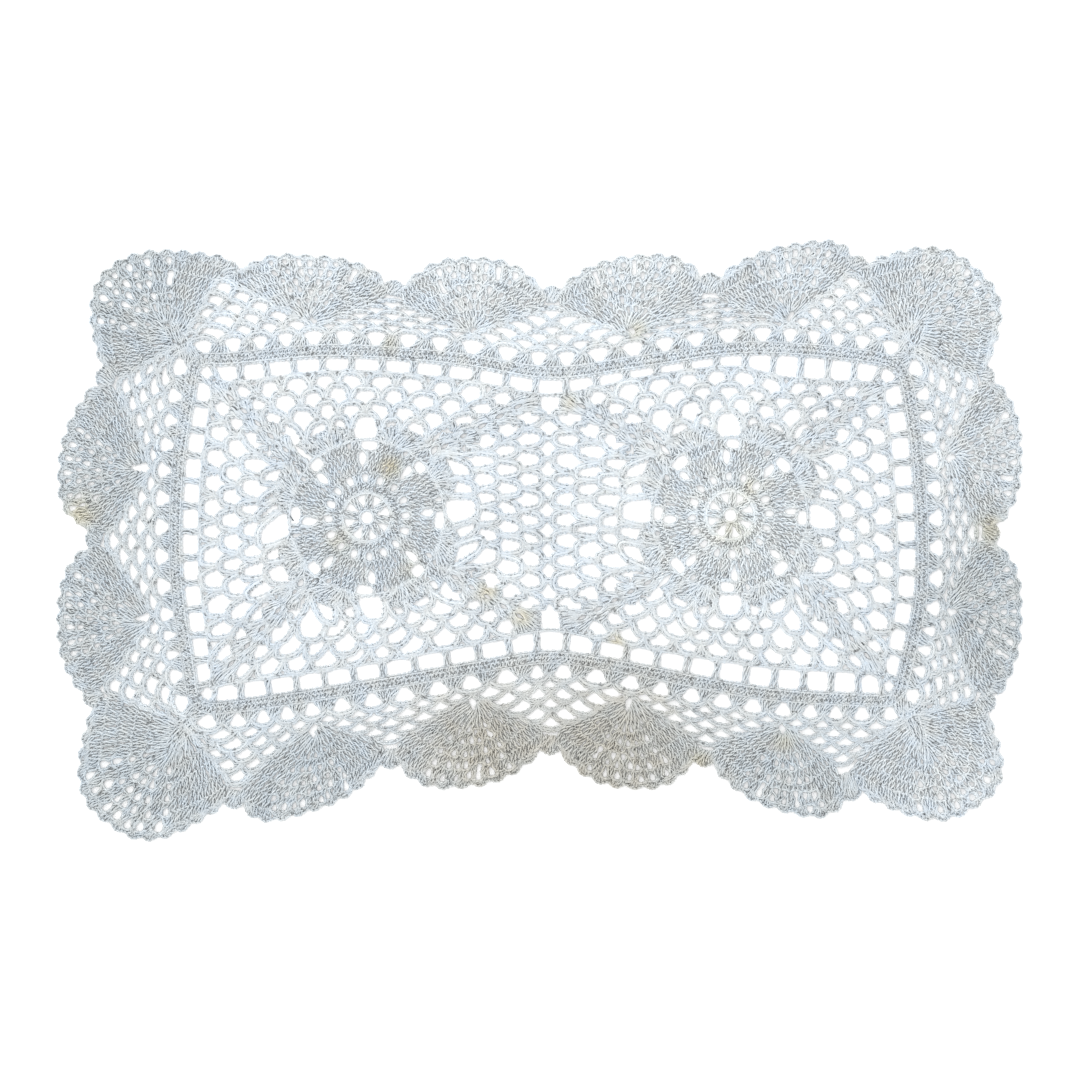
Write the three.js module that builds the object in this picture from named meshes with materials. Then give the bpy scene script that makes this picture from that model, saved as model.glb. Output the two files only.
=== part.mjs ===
// Crochet doily: a rectangular cotton table mat, pinched at its waist.
// Two square medallions lie side by side. Each grows from a ring of spokes through two rounds of
// petals to four solid corners with loop net between them. One round of open spaces and one solid
// band run round both squares, and sixteen fan shells with scalloped edges stand on the band.
// Units are millimetres. +X runs along the length, +Z is up, and the mat lies on z = 0.
import * as THREE from "three";
import { mergeVertices } from "three/addons/utils/BufferGeometryUtils.js";

// Driving sizes
const thickness = 2.2;
const barWidth = 2.4;
const bandWidth = 5.2;
const archRise = 8.8;
const clusterRise = 5.4;
const scallopPitch = 8.6;
const scallopDepth = 1.5;
const mostGaps = 300;
const smallestGap = 4;
const widestGap = 20;
const thinnestBar = 1;
const spacingPasses = 8;
const spacingShrink = 0.95;
const cottonColour = 0xc9d0d2;

// The two medallions: the middle of each, and the directions in which its four corner strips
// set off, clockwise from the top left
const medallions = [
  { name: "left", x: -80.5, y: 10.5, strips: [140, 41.5, -34, -134] },
  { name: "right", x: 88.5, y: 11.5, strips: [140, 43, -44, -141.5] },
];

// Radii in a medallion, from its middle outwards
const medallion = {
  eye: 2.6,
  wedgeInner: 5.2,
  wedgeOuter: 10.6,
  wedgeTurn: 12,
  wedgeHalf: 13,
  innerGap: 26.5,
  outerGap: 34,
  gapSize: 2.4,
  axisSide: { radius: 39.5, angle: 12 },
  petalTop: { radius: 42, half: 4.5 },
  cornerSide: { radius: 44, angle: 16.5 },
  axisValley: 35.5,
  cornerValley: 45.5,
  cornerEdge: 53,
  cornerHalfWidth: 4.6,
};

// The round of open spaces inside the band. Spaces are numbered clockwise from the top left
// corner, x and y are the middle of a space, and depth is how far it reaches across the round.
const spaceCount = 73;
const spaceRows = [
  { place: "top left corner", space: 0, x: -155, y: 78, depth: 6.5 },
  { place: "top", space: 1, x: -145.5, y: 77, depth: 8.5 },
  { place: "top", space: 5, x: -94.5, y: 81.5, depth: 7 },
  { place: "top", space: 9, x: -37, y: 77.5, depth: 7 },
  { place: "top waist", space: 12, x: 5, y: 71, depth: 7.5 },
  { place: "top", space: 15, x: 47.5, y: 77.5, depth: 5 },
  { place: "top", space: 18, x: 89, y: 83, depth: 6 },
  { place: "top", space: 20, x: 115, y: 80.5, depth: 11 },
  { place: "top", space: 23, x: 152, y: 77.5, depth: 9.5 },
  { place: "top right corner", space: 24, x: 161.5, y: 76, depth: 7 },
  { place: "right", space: 25, x: 164, y: 67, depth: 9 },
  { place: "right", space: 28, x: 168.5, y: 30, depth: 9.5 },
  { place: "right", space: 32, x: 170, y: -21.5, depth: 9 },
  { place: "right", space: 35, x: 163.5, y: -58, depth: 7.5 },
  { place: "bottom right corner", space: 36, x: 162, y: -68, depth: 5.5 },
  { place: "bottom", space: 37, x: 154, y: -66.5, depth: 10 },
  { place: "bottom", space: 41, x: 102.5, y: -63, depth: 10 },
  { place: "bottom", space: 46, x: 33.5, y: -51, depth: 8 },
  { place: "bottom waist", space: 48, x: 5, y: -46.5, depth: 10 },
  { place: "bottom", space: 50, x: -21.5, y: -50.5, depth: 8.5 },
  { place: "bottom", space: 54, x: -80, y: -61, depth: 8 },
  { place: "bottom", space: 59, x: -145.5, y: -70.5, depth: 8.5 },
  { place: "bottom left corner", space: 60, x: -155, y: -71, depth: 6.5 },
  { place: "left", space: 61, x: -156, y: -61.5, depth: 8 },
  { place: "left", space: 65, x: -162, y: -14, depth: 8.5 },
  { place: "left", space: 69, x: -161, y: 33.5, depth: 8.5 },
  { place: "left", space: 72, x: -156, y: 68.5, depth: 8 },
];

// The seam where the two squares meet, from its top to its bottom
const seam = {
  topY: 61.5,
  bottomY: -33.5,
  x: 4.5,
  bend: -1.2,
  halfJoin: 2.6,
  endHalf: 4.6,
  gapHalf: 4.7,
  endGapHalf: 3.9,
  tilt: 0.4,
};

// The eight net sides, clockwise round each square. Each runs from one space to another of the
// round above, or along the seam. turn is how far its feet have slipped round the medallion.
const netSides = [
  { square: 0, place: "top", from: 1, to: 11, turn: 1 },
  { square: 0, place: "right", from: "seam top", to: "seam bottom", turn: 4 },
  { square: 0, place: "bottom", from: 49, to: 59, turn: 2 },
  { square: 0, place: "left", from: 61, to: 72, turn: 5 },
  { square: 1, place: "top", from: 13, to: 23, turn: 1 },
  { square: 1, place: "right", from: 25, to: 35, turn: 0 },
  { square: 1, place: "bottom", from: 37, to: 47, turn: 0 },
  { square: 1, place: "left", from: "seam bottom", to: "seam top", turn: -3 },
];

// The sixteen fan shells, clockwise from the top left corner. base is where a fan springs from
// and crown the outermost point of its edge. fullness is how square the edge is: 2 is a round
// bow, 4 nearly a box.
const shells = [
  { name: "top left corner", base: [-172.5, 99.5], crown: [-201, 128], fullness: 2.1 },
  { name: "top 1", base: [-106, 102.5], crown: [-106.5, 133.5], fullness: 3.2 },
  { name: "top 2", base: [-30.5, 97], crown: [-30.5, 132.5], fullness: 2.8 },
  { name: "top 3", base: [42, 97], crown: [44.5, 133.5], fullness: 2.8 },
  { name: "top 4", base: [117, 104.5], crown: [119.5, 139], fullness: 3.2 },
  { name: "top right corner", base: [175.5, 100], crown: [203.5, 127.5], fullness: 3 },
  { name: "right 1", base: [192, 38.5], crown: [225, 41], fullness: 2.8 },
  { name: "right 2", base: [193, -33.5], crown: [225, -33.5], fullness: 2.8 },
  { name: "bottom right corner", base: [177.5, -94.5], crown: [203.5, -125], fullness: 3 },
  { name: "bottom 4", base: [112.5, -88.5], crown: [114, -127.5], fullness: 3 },
  { name: "bottom 3", base: [40.5, -77.5], crown: [41.5, -116.5], fullness: 2.8 },
  { name: "bottom 2", base: [-30.5, -77], crown: [-34.5, -116], fullness: 2.8 },
  { name: "bottom 1", base: [-105, -90], crown: [-109, -128], fullness: 3.4 },
  { name: "bottom left corner", base: [-171.5, -97], crown: [-201.5, -133], fullness: 3 },
  { name: "left 2", base: [-186.5, -37], crown: [-225.5, -35], fullness: 2.8 },
  { name: "left 1", base: [-189, 34], crown: [-225, 32], fullness: 2.8 },
];
const cornerShells = ["top left corner", "top right corner", "bottom right corner", "bottom left corner"];

// The valley after each shell. apex is the top of the net between that shell and the next, and
// notch the middle of the small scallop there.
const valleys = [
  { after: "top left corner", apex: [-148.5, 121], notch: [-141.5, 129.5] },
  { after: "top 1", apex: [-69, 111.5], notch: [-67, 121.5] },
  { after: "top 2", apex: [5.5, 108], notch: [5, 119] },
  { after: "top 3", apex: [78.5, 111.5], notch: [79.5, 125] },
  { after: "top 4", apex: [145.5, 123.5], notch: [149.5, 132.5] },
  { after: "top right corner", apex: [202.5, 74], notch: [211.5, 78.5] },
  { after: "right 1", apex: [203, 3.5], notch: [214.5, 2.5] },
  { after: "right 2", apex: [201.5, -72.5], notch: [212, -78] },
  { after: "bottom right corner", apex: [140, -104.5], notch: [146.5, -121.5] },
  { after: "bottom 4", apex: [77.5, -95], notch: [75.5, -106] },
  { after: "bottom 3", apex: [5, -88], notch: [4.5, -100.5] },
  { after: "bottom 2", apex: [-69.5, -94], notch: [-70, -107] },
  { after: "bottom 1", apex: [-141.5, -113.5], notch: [-143, -125.5] },
  { after: "bottom left corner", apex: [-201.5, -69], notch: [-212.5, -75.5] },
  { after: "left 2", apex: [-201.5, -0.5], notch: [-212, 1.5] },
  { after: "left 1", apex: [-195.5, 73], notch: [-207, 77.5] },
];

// Plane helpers
const point = (x, y) => new THREE.Vector2(x, y);
const pointOf = (pair) => point(pair[0], pair[1]);
const between = (a, b, t) => a.clone().lerp(b, t);
const shifted = (a, direction, distance) => a.clone().addScaledVector(direction, distance);
const radians = THREE.MathUtils.degToRad;

function onCircle(centre, radius, degrees) {
  const angle = radians(degrees);
  return point(centre.x + radius * Math.cos(angle), centre.y + radius * Math.sin(angle));
}

// A repeatable unevenness between -1 and 1 for hand-made loops
function uneven(a, b) {
  const wave = Math.sin(a * 12.9898 + b * 78.233) * 43758.5453;
  return 2 * (wave - Math.floor(wave)) - 1;
}

// The round of spaces as one smooth closed curve. s counts spaces, and the slope at each row
// comes from its two neighbours.
function rowAt(index) {
  const turns = Math.floor(index / spaceRows.length);
  const row = spaceRows[index - turns * spaceRows.length];
  return { s: row.space + turns * spaceCount, value: [row.x, row.y, row.depth] };
}

function roundAt(s) {
  const wrapped = s - Math.floor(s / spaceCount) * spaceCount;
  let index = spaceRows.length - 1;
  while (spaceRows[index].space > wrapped) {
    index -= 1;
  }
  const rows = [rowAt(index - 1), rowAt(index), rowAt(index + 1), rowAt(index + 2)];
  const span = rows[2].s - rows[1].s;
  const t = (wrapped - rows[1].s) / span;
  const value = [0, 1, 2].map((k) => {
    const slopeA = (rows[2].value[k] - rows[0].value[k]) / (rows[2].s - rows[0].s);
    const slopeB = (rows[3].value[k] - rows[1].value[k]) / (rows[3].s - rows[1].s);
    const a = rows[1].value[k] * (2 * t ** 3 - 3 * t ** 2 + 1);
    const b = rows[2].value[k] * (3 * t ** 2 - 2 * t ** 3);
    return a + b + span * (slopeA * (t ** 3 - 2 * t ** 2 + t) + slopeB * (t ** 3 - t ** 2));
  });
  return { middle: point(value[0], value[1]), depth: value[2] };
}

// The direction out of the round. Near a corner the directions of its two sides run together,
// and on the corner itself it is the diagonal.
const cornerSpaces = [0, 24, 36, 60, 73];
const cornerReach = 2;

function sideOutward(s) {
  const along = roundAt(s + 0.3).middle.sub(roundAt(s - 0.3).middle).normalize();
  return point(-along.y, along.x);
}

function outwardAt(s) {
  const wrapped = s - Math.floor(s / spaceCount) * spaceCount;
  const corner = cornerSpaces.find((space) => Math.abs(space - wrapped) < cornerReach);
  if (corner === undefined) {
    return sideOutward(wrapped);
  }
  const past = (wrapped - corner) / cornerReach;
  const before = sideOutward(corner - cornerReach).multiplyScalar((1 - past) ** 2);
  const after = sideOutward(corner + cornerReach).multiplyScalar((1 + past) ** 2);
  return before.add(after).normalize();
}

// A point of the round, moved outwards from the middle of its spaces by part of their depth
// and by a distance
function roundPoint(s, depthPart, distance = 0) {
  const here = roundAt(s);
  return shifted(here.middle, outwardAt(s), depthPart * here.depth + distance);
}

// A gap seen from above: a rounded arch over the line from left to right, with a point below.
// across is in half widths, up is in rises, and skew tips the top of the arch to one side.
const archShape = [
  { across: -1, up: 0.12, skew: 0 },
  { across: -0.72, up: 0.78, skew: 0 },
  { across: -0.3, up: 1, skew: 1 },
  { across: 0.3, up: 1, skew: -1 },
  { across: 0.72, up: 0.78, skew: 0 },
  { across: 1, up: 0.12, skew: 0 },
];
const archLean = 0.6;
const archSkew = 0.1;
const pointShift = 0.2;

function archGap(left, right, top, below, seed) {
  const half = right.clone().sub(left).multiplyScalar(0.5);
  const width = half.length() - barWidth / 2;
  const along = half.clone().normalize();
  const middle = between(left, right, 0.5);
  const up = point(-along.y, along.x);
  if (top.clone().sub(middle).dot(up) < 0) {
    up.negate();
  }
  const rise = top.clone().sub(middle).dot(up) - barWidth / 2;
  const lean = top.clone().sub(middle).dot(along);
  const outline = archShape.map((place) => {
    const height = place.up + place.skew * archSkew * uneven(seed, 1);
    return shifted(shifted(middle, along, place.across * width + lean * archLean * height), up, height * rise);
  });
  outline.push(shifted(shifted(middle, along, width * pointShift * uneven(seed, 2)), up, -below));
  return outline;
}

// The size test of a gap: its area, and its longest reach
function gapArea(outline) {
  return Math.abs(THREE.ShapeUtils.area(outline));
}

function gapReach(outline) {
  let reach = 0;
  for (const a of outline) {
    for (const b of outline) {
      reach = Math.max(reach, a.distanceTo(b));
    }
  }
  return reach;
}

// The middle of a medallion: an eye, eight wedges between its spokes, and the gaps between its
// eight petals
const petalAngles = [0, 45, 90, 135, 180, 225, 270, 315];
const hexagonAngles = [0, 60, 120, 180, 240, 300];

function medallionGaps(square) {
  const centre = point(square.x, square.y);
  const gaps = [];
  gaps.push(petalAngles.map((angle) => onCircle(centre, medallion.eye, angle)));
  for (const angle of petalAngles) {
    const wedge = angle + medallion.wedgeTurn;
    gaps.push([
      onCircle(centre, medallion.wedgeInner, wedge),
      onCircle(centre, medallion.wedgeOuter, wedge - medallion.wedgeHalf),
      onCircle(centre, medallion.wedgeOuter, wedge + medallion.wedgeHalf),
    ]);
    const radii = angle % 90 === 0 ? [medallion.innerGap] : [medallion.innerGap, medallion.outerGap];
    for (const radius of radii) {
      const spot = onCircle(centre, radius, angle);
      gaps.push(hexagonAngles.map((turn) => onCircle(spot, medallion.gapSize, turn + angle)));
    }
  }
  return gaps;
}

// Where a net side ends: a space of the round, or an end of the seam
function seamPoint(square, part) {
  const bow = 1 - (2 * part - 1) ** 2;
  const end = Math.abs(2 * part - 1) ** 20;
  const half = THREE.MathUtils.lerp(seam.halfJoin, seam.endHalf, end);
  const x = seam.x + seam.bend * bow + (square === 0 ? -half : half);
  return point(x, THREE.MathUtils.lerp(seam.topY, seam.bottomY, part));
}

function outerEdge(side, u) {
  if (typeof side.from === "number") {
    return roundPoint(side.from + u * (side.to - side.from), -0.5);
  }
  return seamPoint(side.square, side.from === "seam top" ? u : 1 - u);
}

// One net side as a sheet of nodes. Row r has loops + r arches, and every arch carries the foot
// of the next row on its top. The outermost arches stand on the corner strips, a part of a row
// further out than the others.
const stripFoot = 0.55;

function netSide(side) {
  const square = medallions[side.square];
  const centre = point(square.x, square.y);
  const loops = typeof side.from === "string" ? 7 : side.to - side.from - 3;
  const order = ["top", "right", "bottom", "left"].indexOf(side.place);
  let startAngle = square.strips[order];
  const endAngle = square.strips[(order + 1) % 4];
  if (startAngle < endAngle) {
    startAngle += 360;
  }
  const cut = THREE.MathUtils.radToDeg(medallion.cornerHalfWidth / medallion.cornerEdge);
  const inner = (u) => {
    const angle = THREE.MathUtils.lerp(startAngle - cut, endAngle + cut, u) + side.turn * 4 * u * (1 - u);
    const endPart = Math.abs(2 * u - 1) ** 6;
    const radius = THREE.MathUtils.lerp(medallion.petalTop.radius, medallion.cornerEdge, endPart);
    return onCircle(centre, radius, angle);
  };
  const sheet = (u, v) => between(inner(u), outerEdge(side, u), v);
  const petals = [Math.round((startAngle - 22.5 - 22.5) / 45) * 45 + 22.5];
  petals.push(petals[0] - 45);
  const feet = [sheet(0, 0.08)];
  petals.forEach((petal, index) => {
    const turned = petal + side.turn;
    const flip = index === 0 ? 1 : -1;
    const { cornerSide, axisSide, petalTop } = medallion;
    const outer = onCircle(centre, cornerSide.radius, turned + flip * cornerSide.angle);
    const inner = onCircle(centre, axisSide.radius, turned - flip * axisSide.angle);
    const tops = index === 1 && loops > 7 ? [petalTop.half, -petalTop.half] : [0];
    const middle = tops.map((offset) => onCircle(centre, petalTop.radius, turned + offset));
    feet.push(...(index === 0 ? [outer, ...middle, inner] : [inner, ...middle, outer]));
  });
  feet.push(sheet(1, 0.08));
  const rows = [feet];
  for (let r = 1; r <= 4; r += 1) {
    const count = loops + r - 1;
    const row = [sheet(0, (r + stripFoot) / 4)];
    for (let j = 0; j < count; j += 1) {
      row.push(sheet((j + 0.5) / count, r / 4));
    }
    row.push(sheet(1, (r + stripFoot) / 4));
    rows.push(row);
  }
  return { side, centre, loops, rows };
}

// The gaps of one net side. The first row reaches down between the petals and beside the corners.
function netGaps(net, seed) {
  const gaps = [];
  const last = net.loops - 1;
  const axis = 3;
  for (let r = 0; r < 4; r += 1) {
    for (let j = 0; j < net.loops + r; j += 1) {
      const left = net.rows[r][j];
      const right = net.rows[r][j + 1];
      const top = net.rows[r + 1][j + 1];
      const code = seed * 100 + r * 20 + j;
      if (r > 0) {
        gaps.push(archGap(left, right, top, 1.5, code));
        continue;
      }
      const reach = net.centre.distanceTo(between(left, right, 0.5));
      let below = -0.6;
      if (j === axis) {
        below = reach - medallion.axisValley;
      }
      if (j === 0 || j === last) {
        below = reach - medallion.cornerValley;
      }
      gaps.push(archGap(left, right, top, below, code));
    }
  }
  return gaps;
}

// The gaps along the seam, between the tops of the last rows of the two squares
function seamGaps(leftNet, rightNet) {
  const lefts = leftNet.rows[4];
  const rights = rightNet.rows[4].slice().reverse();
  const joins = lefts.map((left, index) => between(left, rights[index], 0.5));
  const gaps = [];
  for (let j = 1; j + 2 < joins.length; j += 1) {
    const middle = between(joins[j], joins[j + 1], 0.5);
    const half = (joins[j].distanceTo(joins[j + 1]) - barWidth) / 2;
    const tilt = seam.tilt * uneven(j, 6);
    gaps.push([
      point(middle.x - seam.halfJoin, middle.y + half),
      point(middle.x + seam.halfJoin, middle.y + half),
      point(middle.x + seam.gapHalf, middle.y + tilt),
      point(middle.x + seam.halfJoin, middle.y - half),
      point(middle.x - seam.halfJoin, middle.y - half),
      point(middle.x - seam.gapHalf, middle.y - tilt),
    ]);
  }
  const ends = [
    { inner: joins[1], outer: roundPoint(12, -0.5) },
    { inner: joins[joins.length - 2], outer: roundPoint(48, -0.5) },
  ];
  for (const { inner, outer } of ends) {
    const away = Math.sign(outer.y - inner.y) * barWidth;
    gaps.push([
      point(inner.x, inner.y + away),
      point(inner.x + seam.endGapHalf, inner.y + away * 1.5),
      point(outer.x + seam.endGapHalf, outer.y - away),
      point(outer.x - seam.endGapHalf, outer.y - away),
      point(inner.x - seam.endGapHalf, inner.y + away * 1.5),
    ]);
  }
  return gaps;
}

// The open spaces of the round, between their posts
function spaceGaps() {
  const gaps = [];
  for (let k = 0; k < spaceCount; k += 1) {
    const start = roundPoint(k - 0.5, -0.5).distanceTo(roundPoint(k + 0.5, -0.5));
    const margin = Math.min(0.3, (barWidth * 0.5) / start);
    const from = k - 0.5 + margin;
    const to = k + 0.5 - margin;
    gaps.push([
      roundPoint(from, -0.42),
      roundPoint(k, -0.56),
      roundPoint(to, -0.42),
      roundPoint(to, 0.42),
      roundPoint(k + 0.25, 0.5),
      roundPoint(k - 0.25, 0.5),
      roundPoint(from, 0.42),
    ]);
  }
  return gaps;
}

// The arches that stand on the band. Five go to each shell, and a corner shell stands between
// two of them.
function footSpace(shell) {
  const corner = cornerShells.indexOf(shell.name);
  if (corner >= 0) {
    return cornerSpaces[corner];
  }
  let best = 0;
  let shortest = Infinity;
  for (let s = 0; s < spaceCount; s += 0.05) {
    const distance = roundAt(s).middle.distanceTo(pointOf(shell.base));
    if (distance < shortest) {
      shortest = distance;
      best = s;
    }
  }
  return best;
}

function archPlaces(index) {
  const here = shells[index];
  const next = shells[(index + 1) % shells.length];
  const start = footSpace(here);
  let end = footSpace(next);
  if (end < start) {
    end += spaceCount;
  }
  let steps = [0, 1, 2, 3, 4, 5];
  if (cornerShells.includes(here.name)) {
    steps = [0, 0.5, 1.5, 2.5, 3.5, 4.5];
  }
  if (cornerShells.includes(next.name)) {
    steps = [0, 1, 2, 3, 4, 4.5];
  }
  return steps.map((step) => THREE.MathUtils.lerp(start, end, step / steps[5]));
}

function archRowGaps() {
  const gaps = [];
  shells.forEach((shell, index) => {
    const places = archPlaces(index);
    const first = cornerShells.includes(shell.name) ? 1 : 0;
    for (let j = first; j < 5; j += 1) {
      const half = (places[3] - places[2]) * 0.5;
      const s = places[j];
      gaps.push([
        roundPoint(s - half * 0.22, 0.5, bandWidth + 0.6),
        roundPoint(s + half * 0.22, 0.5, bandWidth + 0.6),
        roundPoint(s + half * 0.72, 0.5, bandWidth + clusterRise - 0.4),
        roundPoint(s + half * 0.45, 0.5, bandWidth + archRise - barWidth * 0.6),
        roundPoint(s - half * 0.45, 0.5, bandWidth + archRise - barWidth * 0.6),
        roundPoint(s - half * 0.72, 0.5, bandWidth + clusterRise - 0.4),
      ]);
    }
  });
  return gaps;
}

// The net between two shells: a triangle of arches, five wide on the round of arches and one
// wide under its apex
function wedgeGaps(index) {
  const apex = pointOf(valleys[index].apex);
  const base = archPlaces(index).map((s) => roundPoint(s, 0.5, bandWidth + archRise));
  const curve = new THREE.SplineCurve(base);
  const gaps = [];
  const node = (row, j) => between(curve.getPoint(row === 5 ? 0.5 : j / (5 - row)), apex, row / 5);
  for (let row = 0; row < 5; row += 1) {
    for (let j = 0; j < 5 - row; j += 1) {
      const left = row === 0 ? base[j] : node(row, j);
      const right = row === 0 ? base[j + 1] : node(row, j + 1);
      const top = node(row + 1, j);
      const rise = between(left, right, 0.5).distanceTo(top);
      gaps.push(archGap(left, right, top, Math.min(1.2, rise * 0.18), index * 40 + row * 7 + j));
    }
  }
  return gaps;
}

// The small scallop in the notch after a shell: its two ends, level with its middle
function notchEnds(index) {
  const middle = pointOf(valleys[index].notch);
  const outward = middle.clone().sub(pointOf(valleys[index].apex)).normalize();
  const along = point(outward.y, -outward.x);
  const before = shifted(middle, along, -scallopPitch / 2);
  const after = shifted(middle, along, scallopPitch / 2);
  return { before, after, outward };
}

// The edge of a shell from the notch before it (t = 0) over its crown to the notch after it
function shellEdge(index, t) {
  const shell = shells[index];
  const start = notchEnds((index + shells.length - 1) % shells.length).after;
  const end = notchEnds(index).before;
  const push = pointOf(shell.crown).sub(between(start, end, 0.5));
  const bow = 1 - Math.abs(2 * t - 1) ** shell.fullness;
  return shifted(between(start, end, t), push, bow);
}

// Even places along a shell's edge, one scallop apart
function scallopPlaces(index) {
  const steps = 400;
  const lengths = [0];
  for (let i = 1; i <= steps; i += 1) {
    const step = shellEdge(index, i / steps).distanceTo(shellEdge(index, (i - 1) / steps));
    lengths.push(lengths[i - 1] + step);
  }
  const count = Math.round(lengths[steps] / scallopPitch);
  const places = [0];
  for (let m = 1; m < count; m += 1) {
    places.push(lengths.findIndex((length) => length >= (lengths[steps] * m) / count) / steps);
  }
  places.push(1);
  return places;
}

// The outline: every scallop is a valley and two shoulders
function matOutline() {
  const outline = [];
  shells.forEach((shell, index) => {
    const base = pointOf(shell.base);
    const places = scallopPlaces(index);
    for (let m = 0; m + 1 < places.length; m += 1) {
      const valley = shellEdge(index, places[m]);
      outline.push(shifted(valley, base.clone().sub(valley).normalize(), scallopDepth));
      outline.push(shellEdge(index, THREE.MathUtils.lerp(places[m], places[m + 1], 0.27)));
      outline.push(shellEdge(index, THREE.MathUtils.lerp(places[m], places[m + 1], 0.73)));
    }
    const notch = notchEnds(index);
    outline.push(shifted(notch.before, notch.outward, -scallopDepth));
    outline.push(between(notch.before, notch.after, 0.27));
    outline.push(between(notch.before, notch.after, 0.73));
  });
  return outline;
}

// The mat: one flat sheet in its outline, with its largest gaps cut through
function allGaps() {
  const gaps = [];
  medallions.forEach((square) => gaps.push(...medallionGaps(square)));
  const nets = netSides.map(netSide);
  nets.forEach((net, index) => gaps.push(...netGaps(net, index)));
  gaps.push(...seamGaps(nets[1], nets[7]));
  gaps.push(...spaceGaps());
  gaps.push(...archRowGaps());
  shells.forEach((shell, index) => gaps.push(...wedgeGaps(index)));
  return gaps;
}

function largestGaps() {
  const open = allGaps().filter((gap) => gapReach(gap) > smallestGap);
  open.sort((a, b) => gapArea(b) - gapArea(a));
  return open.slice(0, mostGaps);
}

// Gaps that lie closer than the thinnest bar shrink a little towards their middles
function gapMiddle(gap) {
  return gap.reduce((sum, spot) => sum.add(spot), point(0, 0)).divideScalar(gap.length);
}

function edgeDistance(spot, a, b) {
  const along = b.clone().sub(a);
  const part = THREE.MathUtils.clamp(spot.clone().sub(a).dot(along) / along.lengthSq(), 0, 1);
  return spot.distanceTo(between(a, b, part));
}

function gapDistance(first, second) {
  let least = Infinity;
  for (const [spots, edges] of [[first, second], [second, first]]) {
    for (const spot of spots) {
      edges.forEach((a, i) => {
        least = Math.min(least, edgeDistance(spot, a, edges[(i + 1) % edges.length]));
      });
    }
  }
  return least;
}

function spacedGaps(found) {
  const gaps = found.slice();
  const middles = gaps.map(gapMiddle);
  for (let pass = 0; pass < spacingPasses; pass += 1) {
    for (let i = 0; i < gaps.length; i += 1) {
      for (let j = i + 1; j < gaps.length; j += 1) {
        const near = middles[i].distanceTo(middles[j]) < widestGap;
        if (near && gapDistance(gaps[i], gaps[j]) < thinnestBar) {
          gaps[i] = gaps[i].map((spot) => between(middles[i], spot, spacingShrink));
          gaps[j] = gaps[j].map((spot) => between(middles[j], spot, spacingShrink));
        }
      }
    }
  }
  return gaps;
}

// The outline is turned round to run anticlockwise, so that the walls of the gaps face inwards
function matGeometry() {
  const shape = new THREE.Shape(matOutline().reverse());
  shape.holes = spacedGaps(largestGaps()).map((gap) => new THREE.Path(gap));
  const sheet = new THREE.ExtrudeGeometry(shape, { depth: thickness, bevelEnabled: false, steps: 1 });
  sheet.deleteAttribute("normal");
  sheet.deleteAttribute("uv");
  sheet.computeBoundingBox();
  const middle = sheet.boundingBox.getCenter(new THREE.Vector3());
  sheet.translate(-middle.x, -middle.y, 0);
  const solid = mergeVertices(sheet, 1e-4);
  solid.computeVertexNormals();
  return solid;
}

const cotton = new THREE.MeshStandardMaterial({ color: cottonColour, roughness: 0.9, metalness: 0 });
const doily = new THREE.Mesh(matGeometry(), cotton);
doily.name = "doily";
const group = new THREE.Group();
group.add(doily);

export default group;
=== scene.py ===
# %% [markdown]
# # A crochet doily, stitch by stitch
# The mat is made from one cotton yarn. A hook pulls it into two kinds of stitch: chain stitches,
# which make the cords of the net, and tall stitches, which stand side by side in fans and bands.
# We first work out where every cord and every stitch lies, then sweep yarn along them.
# The flat sheet of the CAD model is one solid. Here every loop is real, so light falls through
# the gaps and the edges cast their own small shadows.

import bpy
import numpy as np
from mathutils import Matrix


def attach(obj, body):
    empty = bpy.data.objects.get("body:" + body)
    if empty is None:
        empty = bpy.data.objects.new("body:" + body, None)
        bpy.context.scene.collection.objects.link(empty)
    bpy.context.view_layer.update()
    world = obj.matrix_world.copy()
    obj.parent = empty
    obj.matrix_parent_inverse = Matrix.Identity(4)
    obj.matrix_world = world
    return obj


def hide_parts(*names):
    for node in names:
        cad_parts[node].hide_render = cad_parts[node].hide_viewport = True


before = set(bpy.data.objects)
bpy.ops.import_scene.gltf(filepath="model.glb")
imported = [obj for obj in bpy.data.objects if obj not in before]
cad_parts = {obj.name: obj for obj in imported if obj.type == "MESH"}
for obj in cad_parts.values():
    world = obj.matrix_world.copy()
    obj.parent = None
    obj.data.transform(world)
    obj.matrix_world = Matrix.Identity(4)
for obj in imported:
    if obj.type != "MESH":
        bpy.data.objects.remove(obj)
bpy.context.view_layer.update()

# %% [markdown]
# ## Sizes
# The layout is in millimetres, as on a pattern sheet, and becomes metres when a mesh is made.
# MIDDLE_X and MIDDLE_Y then move it to the middle of the CAD model's box, and REST_HEIGHT lifts the
# lowest yarn to the table. The yarn is a little over one millimetre thick, and no two stitches are
# alike: the uneven sizes say by how much they may stray.

# %% Yarn and stitch sizes
MILLIMETRE = 0.001
MIDDLE_X = 0.268
MIDDLE_Y = 0.073
MAT_THICKNESS = 2.2
MAT_MIDDLE = MAT_THICKNESS / 2
REST_HEIGHT = 0.18
YARN_RADIUS = 0.65
CHAIN_PITCH = 2.6
CHAIN_REACH = 1.45
CHAIN_SWING = 1.22
CHAIN_LIFT = 0.5
CHAIN_STEPS = 8
CORE_STEP = 1.8
CORE_SHARE = 0.8
CORE_EXTRA = 0.15
CORE_END = 0.4
RIPPLE_PITCH = 2.0
RIPPLE_STEPS = 4
RIPPLE_RISE = 0.35
RIPPLE_HEIGHT = 1.35
POST_RADIUS = 0.64
POST_SWING = 0.56
POST_STEPS = 6
POST_TWIST = 1.1
HEAD_SHARE = 0.35
HEAD_START = 1.86
UNEVEN_CHAIN = 0.14
UNEVEN_RIPPLE = 0.25
UNEVEN_POST = 0.22
UNEVEN_NODE = 0.7
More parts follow.
